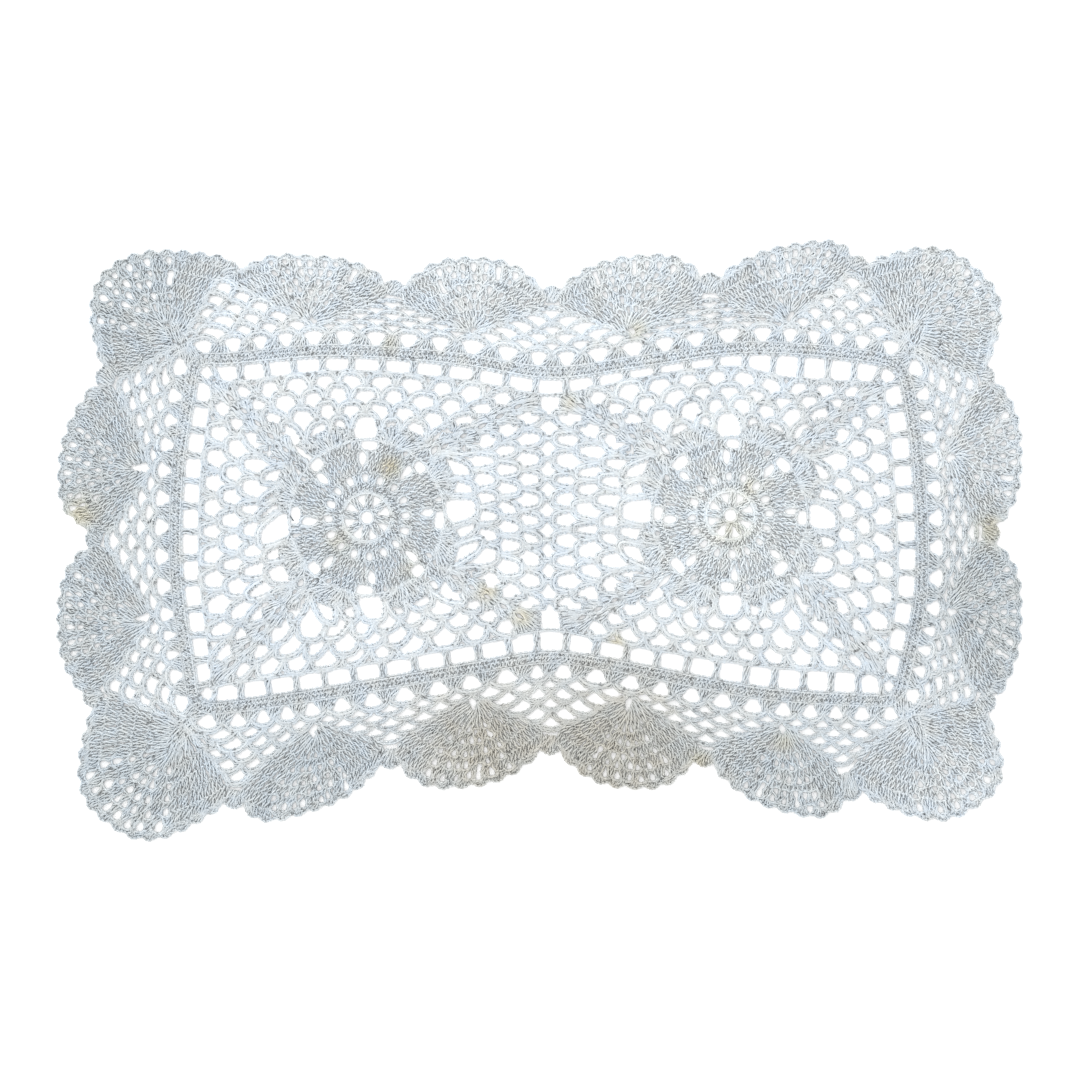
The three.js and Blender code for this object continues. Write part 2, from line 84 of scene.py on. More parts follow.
UNEVEN_HEIGHT = 0.06
UNEVEN_SHADE = 0.04
RUN_REACH = 0.8
GAP_REACH = 1.55
TUBE_SIDES = 3
BAND_WIDTH = 5.2
BAND_STITCHES = 7.5
ARCH_RISE = 8.8
CLUSTER_RISE = 5.4
SCALLOP_PITCH = 8.6
SCALLOP_DEPTH = 1.9
chance = np.random.default_rng(11)

# %% [markdown]
# ## The layout on paper
# The same tables as in the CAD model: two medallions, one round of open spaces, the seam between
# the two squares, sixteen shells and the valleys between them. Each row has named columns.
# A hand-made mat is never quite even, and these measured places carry its unevenness. A row of
# the round of spaces says which space it is, its middle x and y, and its depth.

# %% Medallions, round of spaces and seam
medallions = [
    {"name": "left", "x": -80.5, "y": 10.5, "strips": [140, 41.5, -34, -134]},
    {"name": "right", "x": 88.5, "y": 11.5, "strips": [140, 43, -44, -141.5]},
]
SPACE_COUNT = 73
space_rows = np.array(
    [
        (0, -155, 78, 6.5),
        (1, -145.5, 77, 8.5),
        (5, -94.5, 81.5, 7),
        (9, -37, 77.5, 7),
        (12, 5, 71, 7.5),
        (15, 47.5, 77.5, 5),
        (18, 89, 83, 6),
        (20, 115, 80.5, 11),
        (23, 152, 77.5, 9.5),
        (24, 161.5, 76, 7),
        (25, 164, 67, 9),
        (28, 168.5, 30, 9.5),
        (32, 170, -21.5, 9),
        (35, 163.5, -58, 7.5),
        (36, 162, -68, 5.5),
        (37, 154, -66.5, 10),
        (41, 102.5, -63, 10),
        (46, 33.5, -51, 8),
        (48, 5, -46.5, 10),
        (50, -21.5, -50.5, 8.5),
        (54, -80, -61, 8),
        (59, -145.5, -70.5, 8.5),
        (60, -155, -71, 6.5),
        (61, -156, -61.5, 8),
        (65, -162, -14, 8.5),
        (69, -161, 33.5, 8.5),
        (72, -156, 68.5, 8),
    ]
)
seam = {"top": 61.5, "bottom": -33.5, "x": 4.5, "bend": -1.2, "half_join": 2.6, "end_half": 4.6}
net_sides = [
    {"square": 0, "place": 0, "from": 1, "to": 11, "turn": 1},
    {"square": 0, "place": 1, "from": "seam top", "to": "seam bottom", "turn": 4},
    {"square": 0, "place": 2, "from": 49, "to": 59, "turn": 2},
    {"square": 0, "place": 3, "from": 61, "to": 72, "turn": 5},
    {"square": 1, "place": 0, "from": 13, "to": 23, "turn": 1},
    {"square": 1, "place": 1, "from": 25, "to": 35, "turn": 0},
    {"square": 1, "place": 2, "from": 37, "to": 47, "turn": 0},
    {"square": 1, "place": 3, "from": "seam bottom", "to": "seam top", "turn": -3},
]

# %% Shells and the valleys between them
shells = [
    {"name": "top left corner", "base": (-172.5, 99.5), "crown": (-201, 128), "fullness": 2.1},
    {"name": "top 1", "base": (-106, 102.5), "crown": (-106.5, 133.5), "fullness": 3.2},
    {"name": "top 2", "base": (-30.5, 97), "crown": (-30.5, 132.5), "fullness": 2.8},
    {"name": "top 3", "base": (42, 97), "crown": (44.5, 133.5), "fullness": 2.8},
    {"name": "top 4", "base": (117, 104.5), "crown": (119.5, 139), "fullness": 3.2},
    {"name": "top right corner", "base": (175.5, 100), "crown": (203.5, 127.5), "fullness": 3},
    {"name": "right 1", "base": (192, 38.5), "crown": (225, 41), "fullness": 2.8},
    {"name": "right 2", "base": (193, -33.5), "crown": (225, -33.5), "fullness": 2.8},
    {"name": "bottom right corner", "base": (177.5, -94.5), "crown": (203.5, -125), "fullness": 3},
    {"name": "bottom 4", "base": (112.5, -88.5), "crown": (114, -127.5), "fullness": 3},
    {"name": "bottom 3", "base": (40.5, -77.5), "crown": (41.5, -116.5), "fullness": 2.8},
    {"name": "bottom 2", "base": (-30.5, -77), "crown": (-34.5, -116), "fullness": 2.8},
    {"name": "bottom 1", "base": (-105, -90), "crown": (-109, -128), "fullness": 3.4},
    {"name": "bottom left corner", "base": (-171.5, -97), "crown": (-201.5, -133), "fullness": 3},
    {"name": "left 2", "base": (-186.5, -37), "crown": (-225.5, -35), "fullness": 2.8},
    {"name": "left 1", "base": (-189, 34), "crown": (-225, 32), "fullness": 2.8},
]
valleys = [
    {"after": "top left corner", "apex": (-148.5, 121), "notch": (-141.5, 129.5)},
    {"after": "top 1", "apex": (-69, 111.5), "notch": (-67, 121.5)},
    {"after": "top 2", "apex": (5.5, 108), "notch": (5, 119)},
    {"after": "top 3", "apex": (78.5, 111.5), "notch": (79.5, 125)},
    {"after": "top 4", "apex": (145.5, 123.5), "notch": (149.5, 132.5)},
    {"after": "top right corner", "apex": (202.5, 74), "notch": (211.5, 78.5)},
    {"after": "right 1", "apex": (203, 3.5), "notch": (214.5, 2.5)},
    {"after": "right 2", "apex": (201.5, -72.5), "notch": (212, -78)},
    {"after": "bottom right corner", "apex": (140, -104.5), "notch": (146.5, -121.5)},
    {"after": "bottom 4", "apex": (77.5, -95), "notch": (75.5, -106)},
    {"after": "bottom 3", "apex": (5, -88), "notch": (4.5, -100.5)},
    {"after": "bottom 2", "apex": (-69.5, -94), "notch": (-70, -107)},
    {"after": "bottom 1", "apex": (-141.5, -113.5), "notch": (-143, -125.5)},
    {"after": "bottom left corner", "apex": (-201.5, -69), "notch": (-212.5, -75.5)},
    {"after": "left 2", "apex": (-201.5, -0.5), "notch": (-212, 1.5)},
    {"after": "left 1", "apex": (-195.5, 73), "notch": (-207, 77.5)},
]
CORNER_SPACES = {0: 0, 5: 24, 8: 36, 13: 60}

# %% [markdown]
# ## Points on the plane
# Small helpers for points: mixing two points, a unit direction, its left-hand neighbour and a
# point on a circle. They take single points or whole arrays of points.


# %% Plane helpers
def mix(a, b, t):
    """The point a part t of the way from a to b."""
    return np.asarray(a, float) + (np.asarray(b, float) - np.asarray(a, float)) * t


def unit(v):
    """v at length one."""
    v = np.asarray(v, float)
    return v / np.linalg.norm(v, axis=-1, keepdims=True)


def left_of(v):
    """v turned a quarter turn to its left."""
    return np.stack([-v[..., 1], v[..., 0]], -1)


def on_circle(centre, radius, degrees):
    """centre + radius * (cos, sin) of the angle."""
    angle = np.radians(degrees)
    return np.asarray(centre, float) + np.stack(
        [radius * np.cos(angle), radius * np.sin(angle)], -1
    )


# %% [markdown]
# ## The round of open spaces
# Everything hangs on this round: the nets end on it from inside, and the band, the arches and the
# shells are measured from it outwards. It is one smooth closed curve through the measured spaces.
# Between two rows the curve is a cubic whose slopes come from the neighbouring rows.


# %% The smooth round
SLOPE_STEP = 0.3
CORNER_REACH = 2


def round_at(s):
    """Middle (x, y) and depth of the round at space number s: a cubic through the rows."""
    s = np.asarray(s, float)
    rows = len(space_rows)
    laps = np.arange(-2, rows + 3)
    table = space_rows[laps % rows].astype(float)
    table[:, 0] += SPACE_COUNT * (laps // rows)
    slope = (table[2:, 1:] - table[:-2, 1:]) / (table[2:, :1] - table[:-2, :1])
    place = np.searchsorted(table[:, 0], s % SPACE_COUNT, side="right") - 1
    a, b = table[place], table[place + 1]
    span = (b[..., 0] - a[..., 0])[..., None]
    t = ((s % SPACE_COUNT) - a[..., 0])[..., None] / span
    ends = a[..., 1:] * (2 * t**3 - 3 * t**2 + 1) + b[..., 1:] * (3 * t**2 - 2 * t**3)
    bends = slope[place - 1] * (t**3 - 2 * t**2 + t) + slope[place] * (t**3 - t**2)
    value = ends + span * bends
    return value[..., :2], value[..., 2]


def side_outward(s):
    """The direction out of the round, square to its run."""
    s = np.asarray(s, float)
    return left_of(unit(round_at(s + SLOPE_STEP)[0] - round_at(s - SLOPE_STEP)[0]))


def outward_at(s):
    """side_outward, with the directions of two sides run together near each corner."""
    s = np.asarray(s, float) % SPACE_COUNT
    found = side_outward(s)
    for corner in (*CORNER_SPACES.values(), SPACE_COUNT):
        past = ((s - corner) / CORNER_REACH)[..., None]
        before = side_outward(corner - CORNER_REACH) * (1 - past) ** 2
        after = side_outward(corner + CORNER_REACH) * (1 + past) ** 2
        found = np.where(np.abs(past) < 1, unit(before + after), found)
    return found


def round_point(s, depth_part, distance=0.0):
    """A point of the round, moved out by a part of its depth and by a distance."""
    middle, depth = round_at(s)
    move = depth_part * depth + distance
    return middle + outward_at(s) * move[..., None]


print("the round at space 12:", np.round(round_point(12, 0.5), 2))

# %% [markdown]
# ## Yarn swept along centre lines
# A strand of yarn is a tube. Instead of one tube at a time we lay thousands of centre lines one
# after the other in a single array and give each of their points a small ring of corners.
# Neighbouring rings are joined by faces, except where one strand ends and the next begins.


# %% Tubes round many centre lines
TINY = 1e-9


def tubes(centres, counts, radius):
    """Corners and faces of closed tubes. centres holds all points, counts the points per tube."""
    rings = len(centres)
    ends = np.cumsum(counts) - 1
    starts = ends - np.asarray(counts) + 1
    index = np.arange(rings)
    after = index + 1
    after[ends] = ends
    before = index - 1
    before[starts] = starts
    along = unit(centres[after] - centres[before] + TINY)
    side = unit(np.stack([along[:, 1], -along[:, 0], np.zeros(rings)], -1) + TINY)
    lift = np.cross(side, along)
    turn = 2 * np.pi * np.arange(TUBE_SIDES) / TUBE_SIDES + np.pi / 2
    to_side = np.cos(turn)[None, :, None] * side[:, None]
    spread = to_side + np.sin(turn)[None, :, None] * lift[:, None]
    corners = centres[:, None] + spread * np.asarray(radius)[:, None, None]
    going_on = np.setdiff1d(index, ends)
    k = np.arange(TUBE_SIDES)
    here = going_on[:, None] * TUBE_SIDES + k
    beyond = going_on[:, None] * TUBE_SIDES + (k + 1) % TUBE_SIDES
    walls = np.stack([here, here + TUBE_SIDES, beyond + TUBE_SIDES, beyond], -1).reshape(-1, 4)
    caps = np.concatenate([starts[:, None] * TUBE_SIDES + k, ends[:, None] * TUBE_SIDES + k[::-1]])
    return corners.reshape(-1, 3), walls.tolist() + caps.tolist()


# %% [markdown]
# ## Chain stitches
# A chain stitch is a loop pulled through the loop before it. From above the yarn runs forward on
# one side, turns at the head of the loop and comes back on the other side, then steps on.
# So the path is: along = pitch * t / 2pi + reach * sin t, across = swing * cos t, and the height
# rises where the two legs cross the next loop. A plain strand, the core, fills the loops from
# behind, and a ripple shows the heads of a row of stitches.


# %% A chain along any line
def lengths_along(line):
    """The length of a line up to each of its points."""
    steps = np.linalg.norm(np.diff(line, axis=0), axis=1)
    return np.concatenate([[0], np.cumsum(steps)])


def beside(line, along, sideways):
    """Points at a length along a line, moved to its left by sideways."""
    place = lengths_along(line)
    along = np.clip(along, 0, place[-1])
    ends = np.clip([along - RUN_REACH, along + RUN_REACH], 0, place[-1])

    def at(length):
        return np.stack([np.interp(length, place, line[:, k]) for k in (0, 1)], -1)

    run = at(ends[1]) - at(ends[0])
    return at(along) + left_of(unit(run + TINY)) * np.asarray(sideways)[:, None]


def chain(line, swing):
    """The yarn of a chain that follows a line of points on the plane."""
    line = np.asarray(line, float)
    length = lengths_along(line)[-1]
    stitches = max(1, round(length / CHAIN_PITCH))
    t = np.linspace(0, 2 * np.pi * stitches, CHAIN_STEPS * stitches + 1)
    along = length * t / t[-1] + CHAIN_REACH * np.sin(t)
    wobble = 1 + UNEVEN_CHAIN * chance.standard_normal(len(t))
    spot = beside(line, along, swing * np.cos(t) * wobble)
    height = MAT_MIDDLE + CHAIN_LIFT * (0.75 * np.cos(2 * t) - 0.25 * np.sin(t))
    return np.column_stack([spot, height + chance.normal(0, UNEVEN_HEIGHT, len(t))])


def core_radius(swing):
    """How thick the core of a chain is: it grows with the width of the loops."""
    return CORE_SHARE * swing + CORE_EXTRA


def core(line, swing):
    """The strand at the back of a chain, a plain line low inside its loops."""
    line = np.asarray(line, float)
    length = lengths_along(line)[-1]
    along = np.linspace(CORE_END, length - CORE_END, max(3, round(length / CORE_STEP)))
    uneven = chance.normal(0, UNEVEN_HEIGHT, (2, len(along)))
    height = core_radius(swing) + CORE_EXTRA + uneven[1]
    return np.column_stack([beside(line, along, uneven[0]), height])


def ripple(line, swing):
    """One wavy strand: the heads of a row of stitches, seen from above."""
    line = np.asarray(line, float)
    length = lengths_along(line)[-1]
    waves = max(1, round(length / RIPPLE_PITCH))
    t = np.linspace(0, 2 * np.pi * waves, RIPPLE_STEPS * waves + 1) + chance.uniform(0, np.pi)
    wobble = 1 + UNEVEN_RIPPLE * chance.standard_normal(len(t))
    spot = beside(line, length * (t - t[0]) / (t[-1] - t[0]), swing * np.cos(t) * wobble)
    height = RIPPLE_HEIGHT + RIPPLE_RISE * np.sin(t)
    return np.column_stack([spot, height + chance.normal(0, UNEVEN_HEIGHT, len(t))])


# %% [markdown]
# ## Tall stitches
# A tall stitch is two strands twisted once round each other, from its foot in the row below to
# its head, where they part to the left and right and touch the heads of the next stitches.
# All tall stitches of a row are made together: one array for the feet and one for the heads.


# %% Tall stitches between feet and heads
def tall_stitches(feet, heads, swing=POST_SWING, flare=0.9, twist=POST_TWIST, steps=POST_STEPS):
    """Two twisted strands for each foot and head, as an array of centre lines."""
    feet = np.asarray(feet, float).reshape(-1, 2)
    heads = np.asarray(heads, float).reshape(-1, 2)
    count = len(feet)
    feet = feet + chance.normal(0, UNEVEN_POST, (count, 2))
    heads = heads + chance.normal(0, UNEVEN_POST, (count, 2))
    u = np.linspace(0, 1, steps + 1)[None, None, :]
    head = np.clip(u / HEAD_SHARE - HEAD_START, 0, 1) ** 1.5
    strand = np.array([0.0, np.pi])[None, :, None]
    start = chance.uniform(-np.pi, np.pi, count)[:, None, None]
    phase = strand + start + 2 * np.pi * twist * u
    width = swing * (1 - 0.5 * head)
    sideways = width * np.cos(phase) + flare * head * np.cos(strand)
    run = heads - feet
    across = left_of(unit(run))
    spot = feet[:, None, None] + run[:, None, None] * u[..., None]
    spot = spot + across[:, None, None] * sideways[..., None]
    shift = chance.normal(0, 2 * UNEVEN_HEIGHT, count)[:, None, None]
    height = np.broadcast_to(MAT_MIDDLE + width * np.sin(phase) + shift, sideways.shape)
    return np.concatenate([spot, height[..., None]], -1).reshape(-1, steps + 1, 3)


# %% [markdown]
# ## Small gaps
# Where a hook leaves a tiny gap, the yarn round it bends aside and lies closer together. Each
# strand passes a gap on one side, and every point of it that would lie inside moves sideways,
# square to the strand: sideways = (sideways^3 + rim^3)^(1/3), where rim is the half width of the
# oval at that point. Strands far from the gap hardly move. They start to bend a little before
# the oval, at GAP_REACH of its length.


# %% Gaps that push the yarn aside
def push_aside(centres, strand, run, gap):
    """Bend strands round an oval gap. strand numbers each point's strand, run is its direction."""
    away = centres[:, :2] - gap["centre"]
    near = np.flatnonzero(np.abs(away).max(1) < 3 * max(gap["along"], gap["across"]))
    away, run, strand = away[near], run[near], strand[near]
    axis = on_circle((0, 0), 1.0, gap["turn"])
    square = left_of(run)
    half_run = 1 / np.hypot(run @ axis / gap["along"], run @ left_of(axis) / gap["across"])
    half_square = 1 / np.hypot(square @ axis / gap["along"], square @ left_of(axis) / gap["across"])
    ahead = (away * run).sum(1)
    sideways = (away * square).sum(1)
    side = np.where(np.bincount(strand, sideways)[strand] < 0, -1, 1)
    rim = half_square * np.sqrt(np.clip(1 - (ahead / half_run / GAP_REACH) ** 2, 0, 1))
    moved = (np.maximum(sideways * side, 0) ** 3 + rim**3) ** (1 / 3)
    moved = np.where(rim > 0, moved, sideways * side)
    centres[near, :2] += square * (moved * side - sideways)[:, None]


# %% [markdown]
# ## Collecting a region
# Each region of the mat gathers its cords and its tall stitches in a basket. When the region is
# complete, the basket turns into two meshes, one of all its cords and one of all its stitches.
# That keeps the scene to a few pieces, although they hold thousands of stitches. To push yarn
# aside, the basket needs the direction of each strand. It is taken over the points up to
# DIRECTION_REACH before and after, because the loops of a chain also run backwards.


# %% A basket of strands
DIRECTION_REACH = CHAIN_STEPS


class Basket:
    """The cords and the tall stitches of one region, with their radii, and its small gaps."""

    def __init__(self, name):
        self.name = name
        self.strands = {"cords": [], "stitches": []}
        self.radii = {"cords": [], "stitches": []}
        self.gaps = []

    def cord(self, line, swing=CHAIN_SWING):
        """A chain along a line, with its core."""
        self.strands["cords"] += [chain(line, swing), core(line, swing)]
        self.radii["cords"] += [YARN_RADIUS, core_radius(swing)]

    def edge(self, line, swing):
        """The heads of a row of stitches along a line."""
        self.strands["cords"].append(ripple(line, swing))
        self.radii["cords"].append(YARN_RADIUS)

    def posts(self, feet, heads, **looks):
        """Tall stitches from feet to heads."""
        found = tall_stitches(feet, heads, **looks)
        self.strands["stitches"] += list(found)
        self.radii["stitches"] += [POST_RADIUS] * len(found)

    def gap(self, centre, turn, along, across):
        """An oval gap. The sizes are those of the opening, and the yarn adds its own radius."""
        sizes = {"along": along + POST_RADIUS, "across": across + POST_RADIUS}
        self.gaps.append({"centre": np.asarray(centre, float), "turn": turn, **sizes})

    def mesh(self, kind):
        """One mesh of all cords or of all tall stitches, in metres, in the CAD model's frame."""
        counts = [len(strand) for strand in self.strands[kind]]
        centres = np.concatenate(self.strands[kind])
        strand = np.repeat(np.arange(len(counts)), counts)
        ends = np.cumsum(counts)
        index = np.arange(len(centres))
        before = np.maximum(index - DIRECTION_REACH, np.repeat(ends - counts, counts))
        after = np.minimum(index + DIRECTION_REACH, np.repeat(ends - 1, counts))
        run = unit(centres[after, :2] - centres[before, :2] + TINY)
        for gap in self.gaps:
            push_aside(centres, strand, run, gap)
        corners, faces = tubes(centres, counts, np.repeat(self.radii[kind], counts))
        corners = (corners + [MIDDLE_X, MIDDLE_Y, REST_HEIGHT]) * MILLIMETRE
        mesh = bpy.data.meshes.new(self.name + "_" + kind)
        mesh.from_pydata(corners, [], faces)
        mesh.polygons.foreach_set("use_smooth", np.ones(len(faces), bool))
        shades = chance.normal(1, UNEVEN_SHADE, len(counts))
        shade = np.repeat(shades, np.array(counts) * TUBE_SIDES)
        mesh.attributes.new("shade", "FLOAT", "POINT").data.foreach_set("value", shade)
        piece = bpy.data.objects.new(mesh.name, mesh)
        bpy.context.scene.collection.objects.link(piece)
        print(piece.name, len(counts), "strands", len(faces), "faces")
        return piece


# %% [markdown]
# ## The two medallions
# The first rounds are circles: an eye of chain stitches, eight double spokes, five rounds of tall
# stitches and their small gaps. Then come two rounds of eight petals. A petal is a fan: its
# stitches share a narrow foot and spread at their heads. Each round is one row of a table.


# %% Rounds of a medallion
EYE_RADIUS = 3.8
SPOKE_RING_RADIUS = 11.8
PETAL_RING_RADIUS = 36.2
PETALS = 8
PETAL_TURN = 45
spokes = {"first": 38.5, "from": 4.4, "to": 11.4, "foot_half": 10, "head_half": 5.5}
medallion_rounds = [
    {"from": 12.0, "to": 15.8, "stitches": 41, "left_out": 0},
    {"from": 15.6, "to": 20.4, "stitches": 53, "left_out": 0},
    {"from": 20.6, "to": 26.2, "stitches": 69, "left_out": 0},
    {"from": 25.8, "to": 31.2, "stitches": 84, "left_out": 0},
    {"from": 31.4, "to": 36.0, "stitches": 100, "left_out": 4.5},
]
round_edges = [
    {"radius": 15.9, "swing": 0.5},
    {"radius": 20.6, "swing": 0.5},
    {"radius": 31.0, "swing": 0.5},
]
round_gaps = [
    {"count": 16, "first": 3, "radius": 18.1, "along": 1.25, "across": 1.35, "uneven": 0.8},
    {"count": 8, "first": 4, "radius": 27.8, "along": 2.1, "across": 1.45, "uneven": 0.8},
    {"count": 4, "first": -3, "radius": 33.4, "along": 1.3, "across": 2.6, "uneven": 0.5},
    {"count": 4, "first": 44, "radius": 34.6, "along": 1.8, "across": 2.2, "uneven": 0.8},
    {"count": 8, "first": 14, "radius": 34.4, "along": 0.7, "across": 0.75, "uneven": 0.6},
    {"count": 4, "first": 45, "radius": 43.4, "along": 3.0, "across": 1.0, "uneven": 1.2},
]
petal_rows = [
    {"foot": 34.6, "stitches": 13, "foot_share": 0.45, "steps": 6},
    {"foot": 40.5, "stitches": 14, "foot_share": 0.745, "steps": 4},
]
petal_edge = {"stitches": 15, "head_inset": 1.2, "edge_inset": 0.9}
diagonal_webs = [
    {"from": 36.6, "to": 41.6, "half": 9.0, "stitches": 7},
    {"from": 41.0, "to": 47.0, "half": 6.0, "stitches": 6},
]


def ring_line(centre, radius, start=0.0, end=360.0):
    """Points along a circle or an arc."""
    count = max(6, int(abs(end - start) * radius / 40))
    return on_circle(centre, radius, np.linspace(start, end, count))


def petal_top(w, flip):
    """Radius and angle of the outer petal edge, from its axis side (-1) to its corner side (1)."""
    places = (-1, -0.4, 0.4, 1)
    radius = np.interp(w, places, (39.5, 45.0, 45.6, 46.2))
    angle = np.interp(w, places, (-14.5, -5.5, 6.5, 19.5)) * flip
    return radius, angle


# %% Medallion
def middle_rounds(basket, centre):
    """The eye, the spokes and the rounds of tall stitches, with their gaps."""
    basket.cord(ring_line(centre, EYE_RADIUS), swing=0.45)
    for side in (-1, 1):
        around = np.arange(PETALS) * PETAL_TURN + spokes["first"]
        feet = on_circle(centre, spokes["from"], around + side * spokes["foot_half"])
        heads = on_circle(centre, spokes["to"], around + side * spokes["head_half"])
        basket.posts(feet, heads, flare=0.4)
    basket.cord(ring_line(centre, SPOKE_RING_RADIUS), swing=0.8)
    for row in medallion_rounds:
        around = (np.arange(row["stitches"]) + chance.uniform()) * 360 / row["stitches"]
        place = (around + 1.5) % PETAL_TURN
        around = around[np.minimum(place, PETAL_TURN - place) >= row["left_out"]]
        basket.posts(on_circle(centre, row["from"], around), on_circle(centre, row["to"], around))
    basket.cord(ring_line(centre, PETAL_RING_RADIUS), swing=0.45)
    for edge in round_edges:
        basket.edge(ring_line(centre, edge["radius"]), swing=edge["swing"])
    for gaps in round_gaps:
        for angle in np.arange(gaps["count"]) * 360 / gaps["count"] + gaps["first"]:
            radius = gaps["radius"] + chance.uniform(-1, 1) * gaps["uneven"]
            size = chance.uniform(0.85, 1.15)
            spot = on_circle(centre, radius, angle)
            basket.gap(spot, angle, gaps["along"] * size, gaps["across"] * size)


def petal_pair(basket, centre, turned, flip):
    """The two fans of one petal, one on top of the other, and their edge."""
    for row in petal_rows:
        radius, angle = petal_top(np.linspace(-1, 1, row["stitches"]), flip)
        feet = on_circle(centre, row["foot"], turned + angle * row["foot_share"])
        lower = on_circle(centre, row["foot"] - 3, turned + angle * 0.6)
        feet = np.where((radius > row["foot"] + 2.5)[:, None], feet, lower)
        heads = on_circle(centre, radius - petal_edge["head_inset"], turned + angle)
        basket.posts(feet, heads, steps=row["steps"])
    radius, angle = petal_top(np.linspace(-1, 1, petal_edge["stitches"]), flip)
    basket.edge(on_circle(centre, radius - petal_edge["edge_inset"], turned + angle), swing=0.4)


def medallion(basket, square, turns):
    """A whole medallion. turns gives the slip of the petal at an angle."""
    centre = np.array([square["x"], square["y"]])
    middle_rounds(basket, centre)
    for petal in (np.arange(PETALS) + 0.5) * PETAL_TURN:
        petal_pair(basket, centre, petal + turns(petal), 1 if petal % 90 < PETAL_TURN else -1)
    for web in diagonal_webs:
        spread = np.linspace(-1, 1, web["stitches"]) * web["half"]
        around = (45 + 90 * np.arange(4)[:, None] + spread).ravel()
        basket.posts(on_circle(centre, web["from"], around), on_circle(centre, web["to"], around))


# %% [markdown]
# ## The net between the petals and the round
# A net row is a row of arches: each chain arch springs from the top of one arch below and lands
# on the top of the next. The arch rises steeply, then runs nearly level over its gap:
# place = foot to foot + rise * (1 - |2t - 1| ^ 4.5). A short tall stitch ties every top.

# %% Net sheet
FLATNESS = 4.5
ROUND_FLATNESS = 3.0
NET_ROWS = 4
STRIP_FOOT = 0.55
NET_LOW = 0.08
NET_MIDDLE_RADIUS = 42
NET_CORNER_RADIUS = 53
STRIP_CUT = 4.6
PETAL_EDGE = {"corner": (44, 16.5), "axis": (39.5, 12), "top": (42, 4.5)}


def seam_point(square, part):
    """A point where a net side ends on the seam."""
    bow = 1 - (2 * part - 1) ** 2
    half = mix(seam["half_join"], seam["end_half"], np.abs(2 * part - 1) ** 20)
    x = seam["x"] + seam["bend"] * bow + (-half if square == 0 else half)
    return np.array([x, mix(seam["top"], seam["bottom"], part)])


def outer_edge(side, u):
    """Where a net side ends: on the round of spaces or on the seam."""
    if isinstance(side["from"], str):
        return seam_point(side["square"], u if side["from"] == "seam top" else 1 - u)
    return round_point(side["from"] + u * (side["to"] - side["from"]), -0.5)


def net_sheet(side):
    """A net side as a function of u along and v outwards, its nodes by row, its first loops."""
    square = medallions[side["square"]]
    centre = np.array([square["x"], square["y"]])
    loops = 7 if isinstance(side["from"], str) else side["to"] - side["from"] - 3
    start = square["strips"][side["place"]]
    end = square["strips"][(side["place"] + 1) % 4]
    start += 360 if start < end else 0
    cut = np.degrees(STRIP_CUT / NET_CORNER_RADIUS)

    def sheet(u, v):
        angle = mix(start - cut, end + cut, u) + side["turn"] * 4 * u * (1 - u)
        radius = mix(NET_MIDDLE_RADIUS, NET_CORNER_RADIUS, np.abs(2 * u - 1) ** 6)
        return mix(on_circle(centre, radius, angle), outer_edge(side, u), v)

    first = np.round((start - 45) / 45) * 45 + 22.5
    feet = [sheet(0, NET_LOW)]
    for petal, flip in ((first, 1), (first - 45, -1)):
        turned = petal + side["turn"]
        outer = on_circle(centre, PETAL_EDGE["corner"][0], turned + flip * PETAL_EDGE["corner"][1])
        inner = on_circle(centre, PETAL_EDGE["axis"][0], turned - flip * PETAL_EDGE["axis"][1])
        half = PETAL_EDGE["top"][1]
        tops = [half, -half] if flip < 0 and loops > 7 else [0]
        middle = [on_circle(centre, PETAL_EDGE["top"][0], turned + offset) for offset in tops]
        feet += [outer, *middle, inner] if flip > 0 else [inner, *middle, outer]
    feet.append(sheet(1, NET_LOW))
    rows = [feet]
    for r in range(1, NET_ROWS + 1):
        count = loops + r - 1
        uneven = chance.normal(0, UNEVEN_NODE, (count, 2)) * (r < NET_ROWS)
        row = [sheet(0, (r + STRIP_FOOT) / NET_ROWS)]
        row += [sheet((j + 0.5) / count, r / NET_ROWS) + uneven[j] for j in range(count)]
        row.append(sheet(1, (r + STRIP_FOOT) / NET_ROWS))
        rows.append(row)
    return sheet, rows, loops


def arch_line(left, right, top, flatness=FLATNESS):
    """The line of an arch over two feet, through its top."""
    t = np.linspace(0, 1, 25)[:, None]
    rise = np.asarray(top) - mix(left, right, 0.5)
    return mix(left, right, t) + rise * (1 - np.abs(2 * t - 1) ** flatness)


def knot(basket, spot, up, reach=1.1):
    """A short stitch that ties an arch to the one below."""
    up = unit(up)
    basket.posts(spot - up * reach, spot + up * reach, flare=0.3, twist=0.5, steps=3)


def net_side(basket, side):
    """All arches of a net side, each tied to the one below."""
    sheet, rows, loops = net_sheet(side)
    for r in range(NET_ROWS):
        for j in range(loops + r):
            left, right, top = rows[r][j], rows[r][j + 1], rows[r + 1][j + 1]
            basket.cord(arch_line(left, right, top))
            knot(basket, top, top - mix(left, right, 0.5))
    return sheet, rows


# %% [markdown]
# ## The corner strips
# Five fans stand one on top of the other on every diagonal. Each springs from the middle of the
# fan below, and its yarn parts round a tiny gap a little above its foot.

# %% Corner strip
STRIP_ROWS = (-0.17, 0.08, 0.31, 0.54, 0.77, 1.0)
STRIP_HALF = 5.4
STRIP_STITCHES = 12
STRIP_FOOT_HALF = 2.4
STRIP_FOOT_DROP = 0.12
STRIP_HEAD_DROP = 0.3
STRIP_GAP = {"up": 0.3, "along": 0.9, "across": 0.75}


